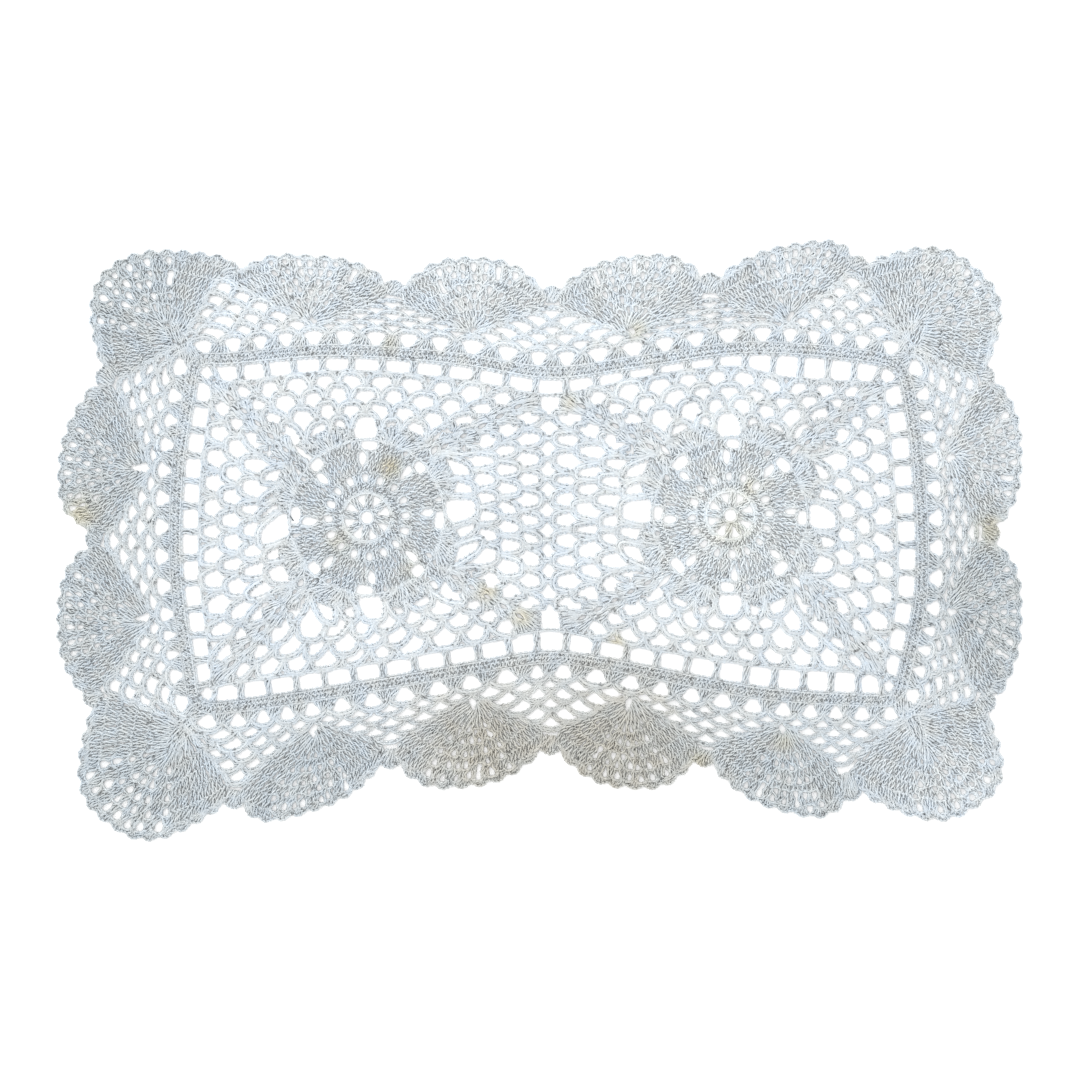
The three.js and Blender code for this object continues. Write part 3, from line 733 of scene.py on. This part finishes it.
def corner_strip(basket, left_sheet, right_sheet, end_line):
    """Fans between the end of one net side and the start of the next. end_line holds the heads
    of the last fan."""
    spread = np.linspace(-1, 1, STRIP_STITCHES)
    for low, high in zip(STRIP_ROWS[:-1], STRIP_ROWS[1:]):
        foot = mix(left_sheet(1, low), right_sheet(0, low), 0.5)
        head = mix(left_sheet(1, high), right_sheet(0, high), 0.5)
        across = unit(right_sheet(0, high) - left_sheet(1, high))
        half = max(STRIP_HALF, np.linalg.norm(right_sheet(0, high) - left_sheet(1, high)) / 2)
        run = head - foot
        feet = foot + across * (spread * STRIP_FOOT_HALF)[:, None]
        feet = feet - run * STRIP_FOOT_DROP * np.abs(spread)[:, None]
        heads = head + across * (spread * half)[:, None]
        heads = heads - run * (STRIP_HEAD_DROP * spread**2)[:, None]
        if high == STRIP_ROWS[-1]:
            heads = end_line
        basket.posts(feet, heads)
        basket.edge(heads, swing=0.4)
        turn = np.degrees(np.arctan2(run[1], run[0]))
        basket.gap(foot + run * STRIP_GAP["up"], turn, STRIP_GAP["along"], STRIP_GAP["across"])


# %% [markdown]
# ## The shells
# A shell is a fan of rows. The first row is tall and radiates from one spot. The later rows are
# short, with tiny gaps where two rows meet, and the last row is the scallops.
# Towards the notches a shell bends round the net triangle beside it, so its rays are curved.


# %% Edge and rays of a shell
RAY_BEND = 2.2
APEX_CLEAR = 0.12


def notch_ends(index):
    """The two ends of the small scallop in a notch, and the direction out of it."""
    middle = np.array(valleys[index]["notch"], float)
    outward = unit(middle - valleys[index]["apex"])
    along = -left_of(outward)
    return middle - along * SCALLOP_PITCH / 2, middle + along * SCALLOP_PITCH / 2, outward


def shell_edge(index, t):
    """The edge of a shell from the notch before it (t = 0) to the notch after it (t = 1)."""
    start = notch_ends(index - 1)[1]
    end = notch_ends(index)[0]
    push = np.array(shells[index]["crown"], float) - mix(start, end, 0.5)
    t = np.asarray(t, float)[..., None]
    return mix(start, end, t) + push * (1 - np.abs(2 * t - 1) ** shells[index]["fullness"])


def scallop_places(index):
    """Even places along the edge, one scallop apart."""
    t = np.linspace(0, 1, 401)
    place = lengths_along(shell_edge(index, t))
    count = round(place[-1] / SCALLOP_PITCH)
    return np.interp(np.linspace(0, place[-1], count + 1), place, t)


def side_bend(index, side, v):
    """How far the outermost ray of a shell lies from a straight one: it passes the apex."""
    base = np.array(shells[index]["base"], float)
    foot = round_point(foot_space(index), 0.5, BAND_WIDTH + ARCH_RISE)
    valley = valleys[index - 1] if side == 0 else valleys[index]
    end = shell_edge(index, float(side))
    apex = mix(valley["apex"], end, APEX_CLEAR)
    lengths = np.linalg.norm(apex - foot), np.linalg.norm(end - apex)
    corner = lengths[0] / sum(lengths)
    v = np.asarray(v, float)
    window = np.linspace(-0.5, 0.5, 9) * np.minimum(v, 1 - v)[..., None]
    near = np.clip(v[..., None] + window, 0, 1)
    bent = [np.interp(near, (0, corner, 1), (foot[k], apex[k], end[k])).mean(-1) for k in (0, 1)]
    return np.stack(bent, -1) - mix(base, end, v[..., None])


def shell_point(index, t, v):
    """A point of a shell, t along its rows and v outwards from its base."""
    t = np.asarray(t, float)
    v = np.asarray(v, float)
    t, v = np.broadcast_arrays(t, v)
    base = np.array(shells[index]["base"], float)
    straight = mix(base, shell_edge(index, t), v[..., None])
    left = (np.clip(1 - 2 * t, 0, 1) ** RAY_BEND)[..., None] * side_bend(index, 0, v)
    right = (np.clip(2 * t - 1, 0, 1) ** RAY_BEND)[..., None] * side_bend(index, 1, v)
    return straight + left + right


# %% [markdown]
# The rows of a shell are one small table: how far out a row starts and ends. The tiny gaps lie
# on the lines between the rows, and only in the middle part of a shell. In the two left corner
# shells the gaps are wider.

# %% Rows of a shell
shell_rows = [
    {"start": 0.06, "end": 0.3, "pitch": 1.8},
    {"start": 0.29, "end": 0.44, "pitch": 2.0},
    {"start": 0.43, "end": 0.59, "pitch": 2.0},
    {"start": 0.58, "end": 0.73, "pitch": 2.0},
    {"start": 0.72, "end": 0.87, "pitch": 2.0},
]
shell_gaps = [
    {"out": 0.3, "count": 4, "size": 0.6},
    {"out": 0.44, "count": 5, "size": 0.75},
    {"out": 0.59, "count": 6, "size": 0.8},
    {"out": 0.73, "count": 7, "size": 0.85},
    {"out": 0.86, "count": 7, "size": 1.0},
]
GAP_SPAN = (0.16, 0.84)
OPEN_SHELLS = {13: 1.45, 0: 1.2}
SCALLOP_STITCHES = 6
SCALLOP_FOOT = 0.86
SCALLOP_POINTS = 12
SCALLOP_HALF = 0.42


def row_places(index, row):
    """Places along a row, evenly spaced."""
    t = np.linspace(0, 1, 301)
    place = lengths_along(shell_point(index, t, row["end"] * 0.6 + row["start"] * 0.4))
    count = round(place[-1] / row["pitch"])
    return np.interp((np.arange(count) + 0.5) * place[-1] / count, place, t)


def shell(basket, index):
    """All rows of a shell, its scallops and its gaps."""
    places = scallop_places(index)
    for row in shell_rows:
        t = row_places(index, row)
        feet = shell_point(index, t, row["start"])
        basket.posts(feet, shell_point(index, t, row["end"]))
        basket.edge(shell_point(index, np.linspace(0.01, 0.99, 60), row["end"]), swing=0.45)
    spread = np.linspace(-1, 1, SCALLOP_STITCHES)
    part = np.linspace(0.0, 1.0, SCALLOP_POINTS)
    for a, b in zip(places[:-1], places[1:]):
        feet = shell_point(index, mix(a, b, 0.5 + spread * 0.3), SCALLOP_FOOT)
        heads = scallop_edge(index, a, b, 0.5 + spread * SCALLOP_HALF, 1.6)
        basket.posts(feet, heads, steps=4)
        basket.edge(scallop_edge(index, a, b, part, 1.0), swing=0.2)
    for row in shell_gaps:
        low, high = GAP_SPAN
        t = low + (high - low) * (np.arange(row["count"]) + 0.5) / row["count"]
        t = t + chance.normal(0, 0.012, row["count"])
        for spot in shell_point(index, t, row["out"] + chance.normal(0, 0.01, row["count"])):
            size = row["size"] * OPEN_SHELLS.get(index, 1.0) * chance.uniform(0.75, 1.2)
            basket.gap(spot, chance.uniform(0, 180), size * 1.2, size)


def scallop_drop(part):
    """How far the edge of a scallop drops towards its ends."""
    return SCALLOP_DEPTH * np.abs(np.cos(np.pi * part)) ** 2.5


def scallop_edge(index, a, b, part, inset):
    """A line just inside the edge of one scallop, which drops at both its ends."""
    part = np.asarray(part, float)
    edge = shell_edge(index, mix(a, b, part))
    inwards = unit(np.array(shells[index]["base"], float) - edge)
    return edge + inwards * (inset + scallop_drop(part))[..., None]


def notch_scallop(basket, index):
    """The small scallop in a notch."""
    before, after, outward = notch_ends(index)
    apex = np.array(valleys[index]["apex"], float)
    spread = np.linspace(-1, 1, SCALLOP_STITCHES)
    feet = mix(apex, mix(before, after, 0.5), 0.25) + (after - before) * spread[:, None] * 0.2
    drop = outward * (1.7 + SCALLOP_DEPTH * np.abs(spread) ** 3)[:, None]
    heads = mix(before, after, (0.5 + spread * SCALLOP_HALF)[:, None]) - drop
    basket.posts(feet, heads)
    part = np.linspace(0.0, 1.0, SCALLOP_POINTS)
    drop = outward * (1.05 + scallop_drop(part))[:, None]
    basket.edge(mix(before, after, part[:, None]) - drop, swing=0.4)


# %% [markdown]
# ## Arches on the band and the net triangles
# Five arches stand on the band for every shell. Their feet are clusters: stitches that start
# side by side and are drawn together at their heads. On top of the arches a triangle of net
# grows between two shells, five arches wide at its foot and one wide at its tip.


# %% Places of the arches
def foot_space(index):
    """The space of the round under the base of a shell."""
    if index in CORNER_SPACES:
        return float(CORNER_SPACES[index])
    s = np.arange(0, SPACE_COUNT, 0.05)
    distance = np.linalg.norm(round_at(s)[0] - np.array(shells[index]["base"]), axis=1)
    return float(s[np.argmin(distance)])


def arch_places(index):
    """The five gaps and the last foot between a shell and the next one."""
    following = (index + 1) % len(shells)
    start, end = foot_space(index), foot_space(following)
    end += SPACE_COUNT if end < start else 0
    steps = np.array([0.0, 1, 2, 3, 4, 5])
    if index in CORNER_SPACES:
        steps = np.array([0, 0.5, 1.5, 2.5, 3.5, 4.5])
    if following in CORNER_SPACES:
        steps = np.array([0, 1, 2, 3, 4, 4.5])
    return start + (end - start) * steps / steps[5]


def spline(points, t):
    """A smooth curve through points, t from 0 to 1 (the mean of two parabolas)."""
    points = np.asarray(points, float)
    last = len(points) - 1
    at = t * last
    i = min(int(at), last - 1)
    w = at - i
    p0, p1 = points[max(i - 1, 0)], points[i]
    p2, p3 = points[i + 1], points[min(i + 2, last)]
    slope_a = (p2 - p0) / 2
    slope_b = (p3 - p1) / 2
    cubic = (2 * p1 - 2 * p2 + slope_a + slope_b) * w**3
    return cubic + (-3 * p1 + 3 * p2 - 2 * slope_a - slope_b) * w**2 + slope_a * w + p1


# %% Arch row and triangle of net
TRIANGLE_ROWS = 5
CLUSTER = {"stitches": 6, "foot_half": 0.72, "head_half": 0.24, "overlap": 0.4}
STEM = {"stitches": 5, "half": 3.4, "rows": ((0.0, 0.5), (0.45, 1.05))}


def gap_places():
    """All gaps of the arch row in order round the mat, in spaces."""
    found = []
    for index in range(len(shells)):
        places = arch_places(index)[:5]
        found.extend(places[1:] if index in CORNER_SPACES else places)
    return np.sort(np.array(found) % SPACE_COUNT)


def arch_row(basket, span):
    """The arches over the gaps of a span of the round, each with the cluster after it."""
    gaps = gap_places()
    following = np.append(gaps[1:], gaps[0] + SPACE_COUNT)
    clusters = (gaps + following) / 2
    before = np.insert(clusters[:-1], 0, clusters[-1] - SPACE_COUNT)
    spread = np.linspace(-1, 1, CLUSTER["stitches"])
    head = BAND_WIDTH + CLUSTER_RISE
    for place in np.flatnonzero((gaps - span[0]) % SPACE_COUNT < span[1] - span[0]):
        s = clusters[place]
        half = (following[place] - gaps[place]) / 2
        feet = round_point(s + spread * half * CLUSTER["foot_half"], 0.5, BAND_WIDTH + 0.3)
        heads = s + spread * half * CLUSTER["head_half"]
        heads = round_point(heads, 0.5, head + CLUSTER["overlap"])
        basket.posts(feet, heads, flare=0.35)
        left = round_point(before[place], 0.5, head - CLUSTER["overlap"])
        right = round_point(s, 0.5, head - CLUSTER["overlap"])
        top = round_point(gaps[place], 0.5, BAND_WIDTH + ARCH_RISE)
        basket.cord(arch_line(left, right, top, ROUND_FLATNESS), swing=1.2)


def corner_stem(basket, index):
    """The solid foot of a corner shell, from the corner of the band to its base."""
    corner = CORNER_SPACES[index]
    base = np.array(shells[index]["base"], float)
    foot = round_point(corner, 0.5, BAND_WIDTH + 3)
    across = left_of(unit(base - foot))
    spread = across * np.linspace(-1, 1, STEM["stitches"])[:, None] * STEM["half"]
    for low, high in STEM["rows"]:
        feet = mix(foot, base, low) + spread
        heads = mix(foot, base, high) + spread
        basket.posts(feet, heads)


def net_triangle(basket, index):
    """The triangle of net after a shell. Its cords are thinner where its rows are close."""
    apex = np.array(valleys[index]["apex"], float)
    base = round_point(arch_places(index), 0.5, BAND_WIDTH + ARCH_RISE)

    def node(row, j):
        along = 0.5 if row == TRIANGLE_ROWS else j / (TRIANGLE_ROWS - row)
        return mix(spline(base, along), apex, row / TRIANGLE_ROWS)

    pitch = np.linalg.norm(apex - spline(base, 0.5)) / TRIANGLE_ROWS
    swing = np.clip(0.3 * pitch - 0.4, 0.5, 1.15)
    for row in range(TRIANGLE_ROWS):
        for j in range(TRIANGLE_ROWS - row):
            left = base[j] if row == 0 else node(row, j)
            right = base[j + 1] if row == 0 else node(row, j + 1)
            top = node(row + 1, j)
            basket.cord(arch_line(left, right, top, ROUND_FLATNESS), swing=swing)
            knot(basket, top, top - mix(left, right, 0.5), 0.8)


# %% [markdown]
# ## Open spaces and band
# A space of the round is a square opening between two tall stitches, and a cord closes it towards
# the net. The band on top of it has two rows of short stitches, with a cord under and over them
# and a line of stitch heads between them.


# %% Spaces and band
band_lines = [
    {"cord": True, "depth": -0.5, "out": 0.2, "swing": 0.45},
    {"cord": True, "depth": 0.5, "out": 0.4, "swing": 0.5},
    {"cord": False, "depth": 0.5, "out": BAND_WIDTH / 2 + 0.2, "swing": 0.5},
    {"cord": True, "depth": 0.5, "out": BAND_WIDTH + 0.1, "swing": 0.45},
]
band_rows = [
    {"slip": 0.0, "from": 0.7, "to": BAND_WIDTH / 2 + 0.3},
    {"slip": 0.5, "from": BAND_WIDTH / 2, "to": BAND_WIDTH - 0.1},
]


def spaces_and_band(basket, span):
    """The open spaces and the band over a span of the round, from one space number to another."""
    posts = np.arange(np.ceil(span[0] - 0.5), np.ceil(span[1] - 0.5)) + 0.5
    for slip, twist in ((-0.06, 0.9), (0.06, 1.3)):
        basket.posts(round_point(posts + slip, -0.5), round_point(posts + slip, 0.5), twist=twist)
    run = np.linspace(*span, round(12 * (span[1] - span[0])))
    for row in band_lines:
        line = round_point(run, row["depth"], row["out"])
        lay = basket.cord if row["cord"] else basket.edge
        lay(line, swing=row["swing"])
    for row in band_rows:
        count = round(BAND_STITCHES * (span[1] - span[0]))
        stitches = np.linspace(*span, count, endpoint=False) + row["slip"] / BAND_STITCHES
        feet = round_point(stitches, 0.5, row["from"])
        basket.posts(feet, round_point(stitches, 0.5, row["to"]), steps=3, twist=0.7)


# %% [markdown]
# ## Making the regions
# Now the baskets are filled. Each square has one: medallion, strips and net. The border has eight,
# of two shells each, with their spaces, band, arches and net triangles.


# %% Squares
def strip_end(left_sheet, right_sheet):
    """Heads of the last fan of a strip: from one net side to the other, round the corner."""
    a, b = left_sheet(1, 1), right_sheet(0, 1)
    middle = mix(a, b, 0.5)
    out = unit(middle - mix(left_sheet(1, 0.7), right_sheet(0, 0.7), 0.5))
    spread = np.linspace(-1, 1, STRIP_STITCHES)[:, None]
    return middle + (b - a) / 2 * spread + out * 5 * (1 - np.abs(spread))


squares = [Basket("left_square"), Basket("right_square")]
seam_nodes = []
for basket, square, own in zip(squares, medallions, (net_sides[:4], net_sides[4:])):
    sheets = []
    for side in own:
        sheet, rows = net_side(basket, side)
        sheets.append(sheet)
        if side["from"] in ("seam top", "seam bottom"):
            seam_nodes.append(rows[NET_ROWS])

    def turns(petal, own=own):
        """The slip of the net side that stands on this petal: top, right, bottom or left."""
        return own[int(((135 - petal) % 360) // 90)]["turn"]

    medallion(basket, square, turns)
    for k in range(4):
        corner_strip(basket, sheets[k - 1], sheets[k], strip_end(sheets[k - 1], sheets[k]))

# %% [markdown]
# The seam is made in the last net row: each arch top of one square is joined to the top opposite.

# %% Seam
for left, right in list(zip(seam_nodes[0], seam_nodes[1][::-1]))[1:-1]:
    squares[0].cord(mix(left, right, np.linspace(0, 1, 9)[:, None]))

# %% Border
border_places = ("top_left", "top", "top_right", "right")
border_places += ("bottom_right", "bottom", "bottom_left", "left")
borders = [Basket("border_" + place) for place in border_places]
for index in range(len(shells)):
    basket = borders[index // 2]
    span = [foot_space(index), foot_space((index + 1) % len(shells))]
    span[1] += SPACE_COUNT if span[1] < span[0] else 0
    spaces_and_band(basket, span)
    arch_row(basket, span)
    net_triangle(basket, index)
    if index in CORNER_SPACES:
        corner_stem(basket, index)
    shell(basket, index)
    notch_scallop(basket, index)

pairs = [(basket.mesh("cords"), basket.mesh("stitches")) for basket in [*squares, *borders]]
pieces = [piece for pair in pairs for piece in pair]

# %% [markdown]
# ## The cotton
# Cotton is matt and a little fuzzy. Each corner of the mesh carries its own tint: the bluish
# white of the mat, paler shells, greyer shells where shade is painted in, two warmer shells at
# the bottom and a few old tea-coloured spots. The tints come from short tables. A row says where a
# tint is, x and y, how far it reaches, and what share of it is mixed in at the middle.

# %% Tints by place
COTTON = np.array([0.765, 0.815, 0.865])
PALE = (0.87, 0.915, 0.95)
# Painted shade: a darker copy of the cotton, laid over the side, corner and bottom shells
PAINTED_SHADE_GREY = (0.645, 0.695, 0.73)
TAUPE = (0.595, 0.57, 0.505)
OCHRE = (0.71, 0.65, 0.48)
# Where the painted shade lies and how strong it is, a little of it also over the left medallion
painted_shade_places = np.array(
    [
        (-200, 118, 38, 0.9),
        (-212, 30, 40, 0.8),
        (-212, -35, 40, 0.75),
        (-195, -118, 45, 0.9),
        (-108, -112, 38, 0.75),
        (114, -110, 40, 0.7),
        (214, -30, 42, 0.8),
        (-80, 10, 45, 0.15),
    ]
)
pale_places = np.array(
    [
        (88, 11, 42, 0.9),
        (-80, 10, 40, 0.3),
        (-106, 120, 36, 0.4),
        (-30, 117, 36, 0.5),
        (43, 117, 36, 0.7),
        (118, 122, 36, 0.3),
        (200, 118, 38, 0.6),
        (214, 36, 38, 0.4),
        (200, -112, 40, 0.45),
    ]
)
taupe_places = np.array([(35, -100, 42, 0.8), (-28, -98, 32, 0.8)])
ochre_places = np.array(
    [
        (-214, 12, 7, 0.7),
        (209, 5, 7, 0.6),
        (-69, 34, 5, 0.75),
        (-23.5, -24, 5, 0.6),
        (-8, -36, 5, 0.6),
        (46, 98, 5, 0.45),
        (14, 65, 4, 0.4),
        (-70, 91, 4, 0.4),
        (90, 5, 8, 0.45),
        (114, -93, 5, 0.4),
        (36, -47, 4, 0.6),
        (74, -102, 5, 0.5),
        (-92, -2, 6, 0.35),
        (-60, -14, 5, 0.35),
        (98, 24, 6, 0.35),
    ]
)


tints = [
    (pale_places, PALE),
    (painted_shade_places, PAINTED_SHADE_GREY),
    (taupe_places, TAUPE),
    (ochre_places, OCHRE),
]


def tint_of(corners):
    """The colour of the yarn at each corner: the cotton, mixed with each tint by distance."""
    colour = np.tile(COTTON, (len(corners), 1))
    for places, tint in tints:
        for x, y, reach, share in places:
            away = (corners[:, :2] / MILLIMETRE - [x, y]) / reach
            part = share * np.exp(-(away**2).sum(1))[:, None]
            colour = colour * (1 - part) + np.array(tint) * part
    return colour


def paint(piece):
    """Write the colour of each corner, with the shade of its strand, to the piece's tint."""
    mesh = piece.data
    corners = np.empty(len(mesh.vertices) * 3)
    mesh.vertices.foreach_get("co", corners)
    shade = np.empty(len(mesh.vertices))
    mesh.attributes["shade"].data.foreach_get("value", shade)
    colour = tint_of(corners.reshape(-1, 3)) * shade[:, None]
    layer = mesh.attributes.new("tint", "FLOAT_COLOR", "POINT")
    layer.data.foreach_set("color", np.column_stack([colour, np.ones(len(colour))]).ravel())


# %% [markdown]
# The material takes the tint of each corner. One noise turns it a little warmer or cooler in
# patches, a fine one makes the fuzz and its bumps, and a third paints small dark spots of shade,
# like the shadows in deep creases of the yarn. All noises lie in the object's own coordinates.

# %% Cotton material
FUZZ = {"scale": 900, "detail": 3, "low": 0.25, "high": 0.75, "at_low": 0.9, "at_high": 1.06}
# Painted shade: small dark spots that darken the yarn as the shadows in its deep creases would
CREASE_SHADE = {"scale": 420, "detail": 1, "low": 0.65, "high": 0.7, "at_low": 1.0, "at_high": 0.56}
PATCHES = {"scale": 130, "detail": 2, "low": 0.3, "high": 0.7}
WARM = (1.0, 0.975, 0.93, 1)
COOL = (0.96, 0.985, 1.0, 1)
FUZZ_DEPTH = 0.0002


def noise(nodes, links, place, looks):
    """A noise over the object's own coordinates."""
    texture = nodes.new("ShaderNodeTexNoise")
    texture.inputs["Scale"].default_value = looks["scale"]
    texture.inputs["Detail"].default_value = looks["detail"]
    links.new(place.outputs["Object"], texture.inputs["Vector"])
    return texture.outputs["Fac"]


def brightness(nodes, links, value, looks):
    """A noise turned into a factor of brightness, with one value at each end of its range."""
    factor = nodes.new("ShaderNodeMapRange")
    factor.inputs["From Min"].default_value = looks["low"]
    factor.inputs["From Max"].default_value = looks["high"]
    factor.inputs["To Min"].default_value = looks["at_low"]
    factor.inputs["To Max"].default_value = looks["at_high"]
    links.new(value, factor.inputs["Value"])
    return factor.outputs["Result"]


def warm_and_cool(nodes, links, value):
    """A noise turned into patches of warmer and cooler white."""
    ramp = nodes.new("ShaderNodeValToRGB")
    ramp.color_ramp.elements[0].position = PATCHES["low"]
    ramp.color_ramp.elements[0].color = WARM
    ramp.color_ramp.elements[1].position = PATCHES["high"]
    ramp.color_ramp.elements[1].color = COOL
    links.new(value, ramp.inputs["Fac"])
    return ramp.outputs["Color"]


def cotton_material():
    """Matt cotton yarn."""
    material = bpy.data.materials.new("cotton")
    material.use_nodes = True
    nodes, links = material.node_tree.nodes, material.node_tree.links
    shader = nodes["Principled BSDF"]
    shader.inputs["Roughness"].default_value = 0.9
    shader.inputs["Specular IOR Level"].default_value = 0.2
    tint = nodes.new("ShaderNodeVertexColor")
    tint.layer_name = "tint"
    place = nodes.new("ShaderNodeTexCoord")
    fuzz = noise(nodes, links, place, FUZZ)
    shade = brightness(nodes, links, fuzz, FUZZ)
    # The painted shade of the creases, as a factor of brightness
    crease_shade = brightness(nodes, links, noise(nodes, links, place, CREASE_SHADE), CREASE_SHADE)
    patches = warm_and_cool(nodes, links, noise(nodes, links, place, PATCHES))
    coloured = nodes.new("ShaderNodeVectorMath")
    coloured.operation = "MULTIPLY"
    links.new(tint.outputs["Color"], coloured.inputs[0])
    links.new(patches, coloured.inputs[1])
    both = nodes.new("ShaderNodeMath")
    both.operation = "MULTIPLY"
    links.new(shade, both.inputs[0])
    links.new(crease_shade, both.inputs[1])
    shaded = nodes.new("ShaderNodeVectorMath")
    shaded.operation = "SCALE"
    links.new(coloured.outputs["Vector"], shaded.inputs[0])
    links.new(both.outputs["Value"], shaded.inputs["Scale"])
    links.new(shaded.outputs["Vector"], shader.inputs["Base Color"])
    bump = nodes.new("ShaderNodeBump")
    bump.inputs["Distance"].default_value = FUZZ_DEPTH
    links.new(fuzz, bump.inputs["Height"])
    links.new(bump.outputs["Normal"], shader.inputs["Normal"])
    return material


cotton = cotton_material()
for piece in pieces:
    paint(piece)
    piece.data.materials.append(cotton)

# %% [markdown]
# ## Handing the pieces to the shared frame
# Every piece rides on the one body of the mat and stands for the CAD sheet. The cords of a region
# make a sheet of cloth that lies on the floor, with the stitches of the same region on it. Its flat
# size is its own width and length, because the mat lies flat, and it is printed with its area.
# region on it. Its flat size is its own width and length, because the mat lies flat.


# %% Pieces and flat sizes
GRID = 0.005


def flat_size(piece):
    """Width and length of a piece, and its area: the squares of a grid that hold yarn, in metres."""
    corners = np.empty(len(piece.data.vertices) * 3)
    piece.data.vertices.foreach_get("co", corners)
    corners = corners.reshape(-1, 3)[:, :2]
    low, high = corners.min(0), corners.max(0)
    squares = np.unique(np.floor((corners - low) / GRID), axis=0)
    return high - low, len(squares) * GRID**2


for piece in pieces:
    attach(piece, "root")
    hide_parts("doily")

# %% [markdown]
# ## Floor, light and camera
# A pale floor, a soft sky and one large lamp, as in a picture taken straight from above. The floor
# glows a little, so that it looks white through the smallest gaps too. The camera looks down on
# the middle of the mat and sees a square of half a metre.

# %% Stage
FLOOR_SIZE = 6
FLOOR_DROP = 0.0002
FLOOR_GLOW = 0.15

bpy.ops.mesh.primitive_plane_add(size=FLOOR_SIZE, location=(0, 0, -FLOOR_DROP))
floor = bpy.context.object
floor.name = "floor"
paper = bpy.data.materials.new("paper")
paper.use_nodes = True
paper_shader = paper.node_tree.nodes["Principled BSDF"]
paper_shader.inputs["Base Color"].default_value = (0.92, 0.92, 0.92, 1)
paper_shader.inputs["Roughness"].default_value = 0.9
paper_shader.inputs["Emission Color"].default_value = (1, 1, 1, 1)
paper_shader.inputs["Emission Strength"].default_value = FLOOR_GLOW
floor.data.materials.append(paper)

# %% Flat sizes of the sheets
for cords, stitches in pairs:
    flat, area = flat_size(cords)
    print(cords.name, "flat", np.round(flat, 4), "area", round(area, 5))

# %% Light and camera
SKY_STRENGTH = 1.08
LAMP_WATTS = 9
LAMP_SIZE = 1.2
LENS = 85
SENSOR = 36
PICTURE_WIDTH = 0.50274

world = bpy.data.worlds.new("soft sky")
bpy.context.scene.world = world
world.use_nodes = True
world.node_tree.nodes["Background"].inputs["Color"].default_value = (1, 1, 1, 1)
world.node_tree.nodes["Background"].inputs["Strength"].default_value = SKY_STRENGTH

lamp_data = bpy.data.lights.new("window", "AREA")
lamp_data.energy = LAMP_WATTS
lamp_data.size = LAMP_SIZE
lamp = bpy.data.objects.new("window", lamp_data)
lamp.location = (-0.6, 0.7, 1.3)
lamp.rotation_euler = (-0.45, -0.4, 0)
bpy.context.scene.collection.objects.link(lamp)

camera_data = bpy.data.cameras.new("camera")
camera_data.lens = LENS
camera_data.sensor_width = SENSOR
camera = bpy.data.objects.new("camera", camera_data)
camera.location = (MIDDLE_X * MILLIMETRE, MIDDLE_Y * MILLIMETRE, PICTURE_WIDTH * LENS / SENSOR)
bpy.context.scene.collection.objects.link(camera)
bpy.context.scene.camera = camera
bpy.context.scene.view_settings.view_transform = "Standard"
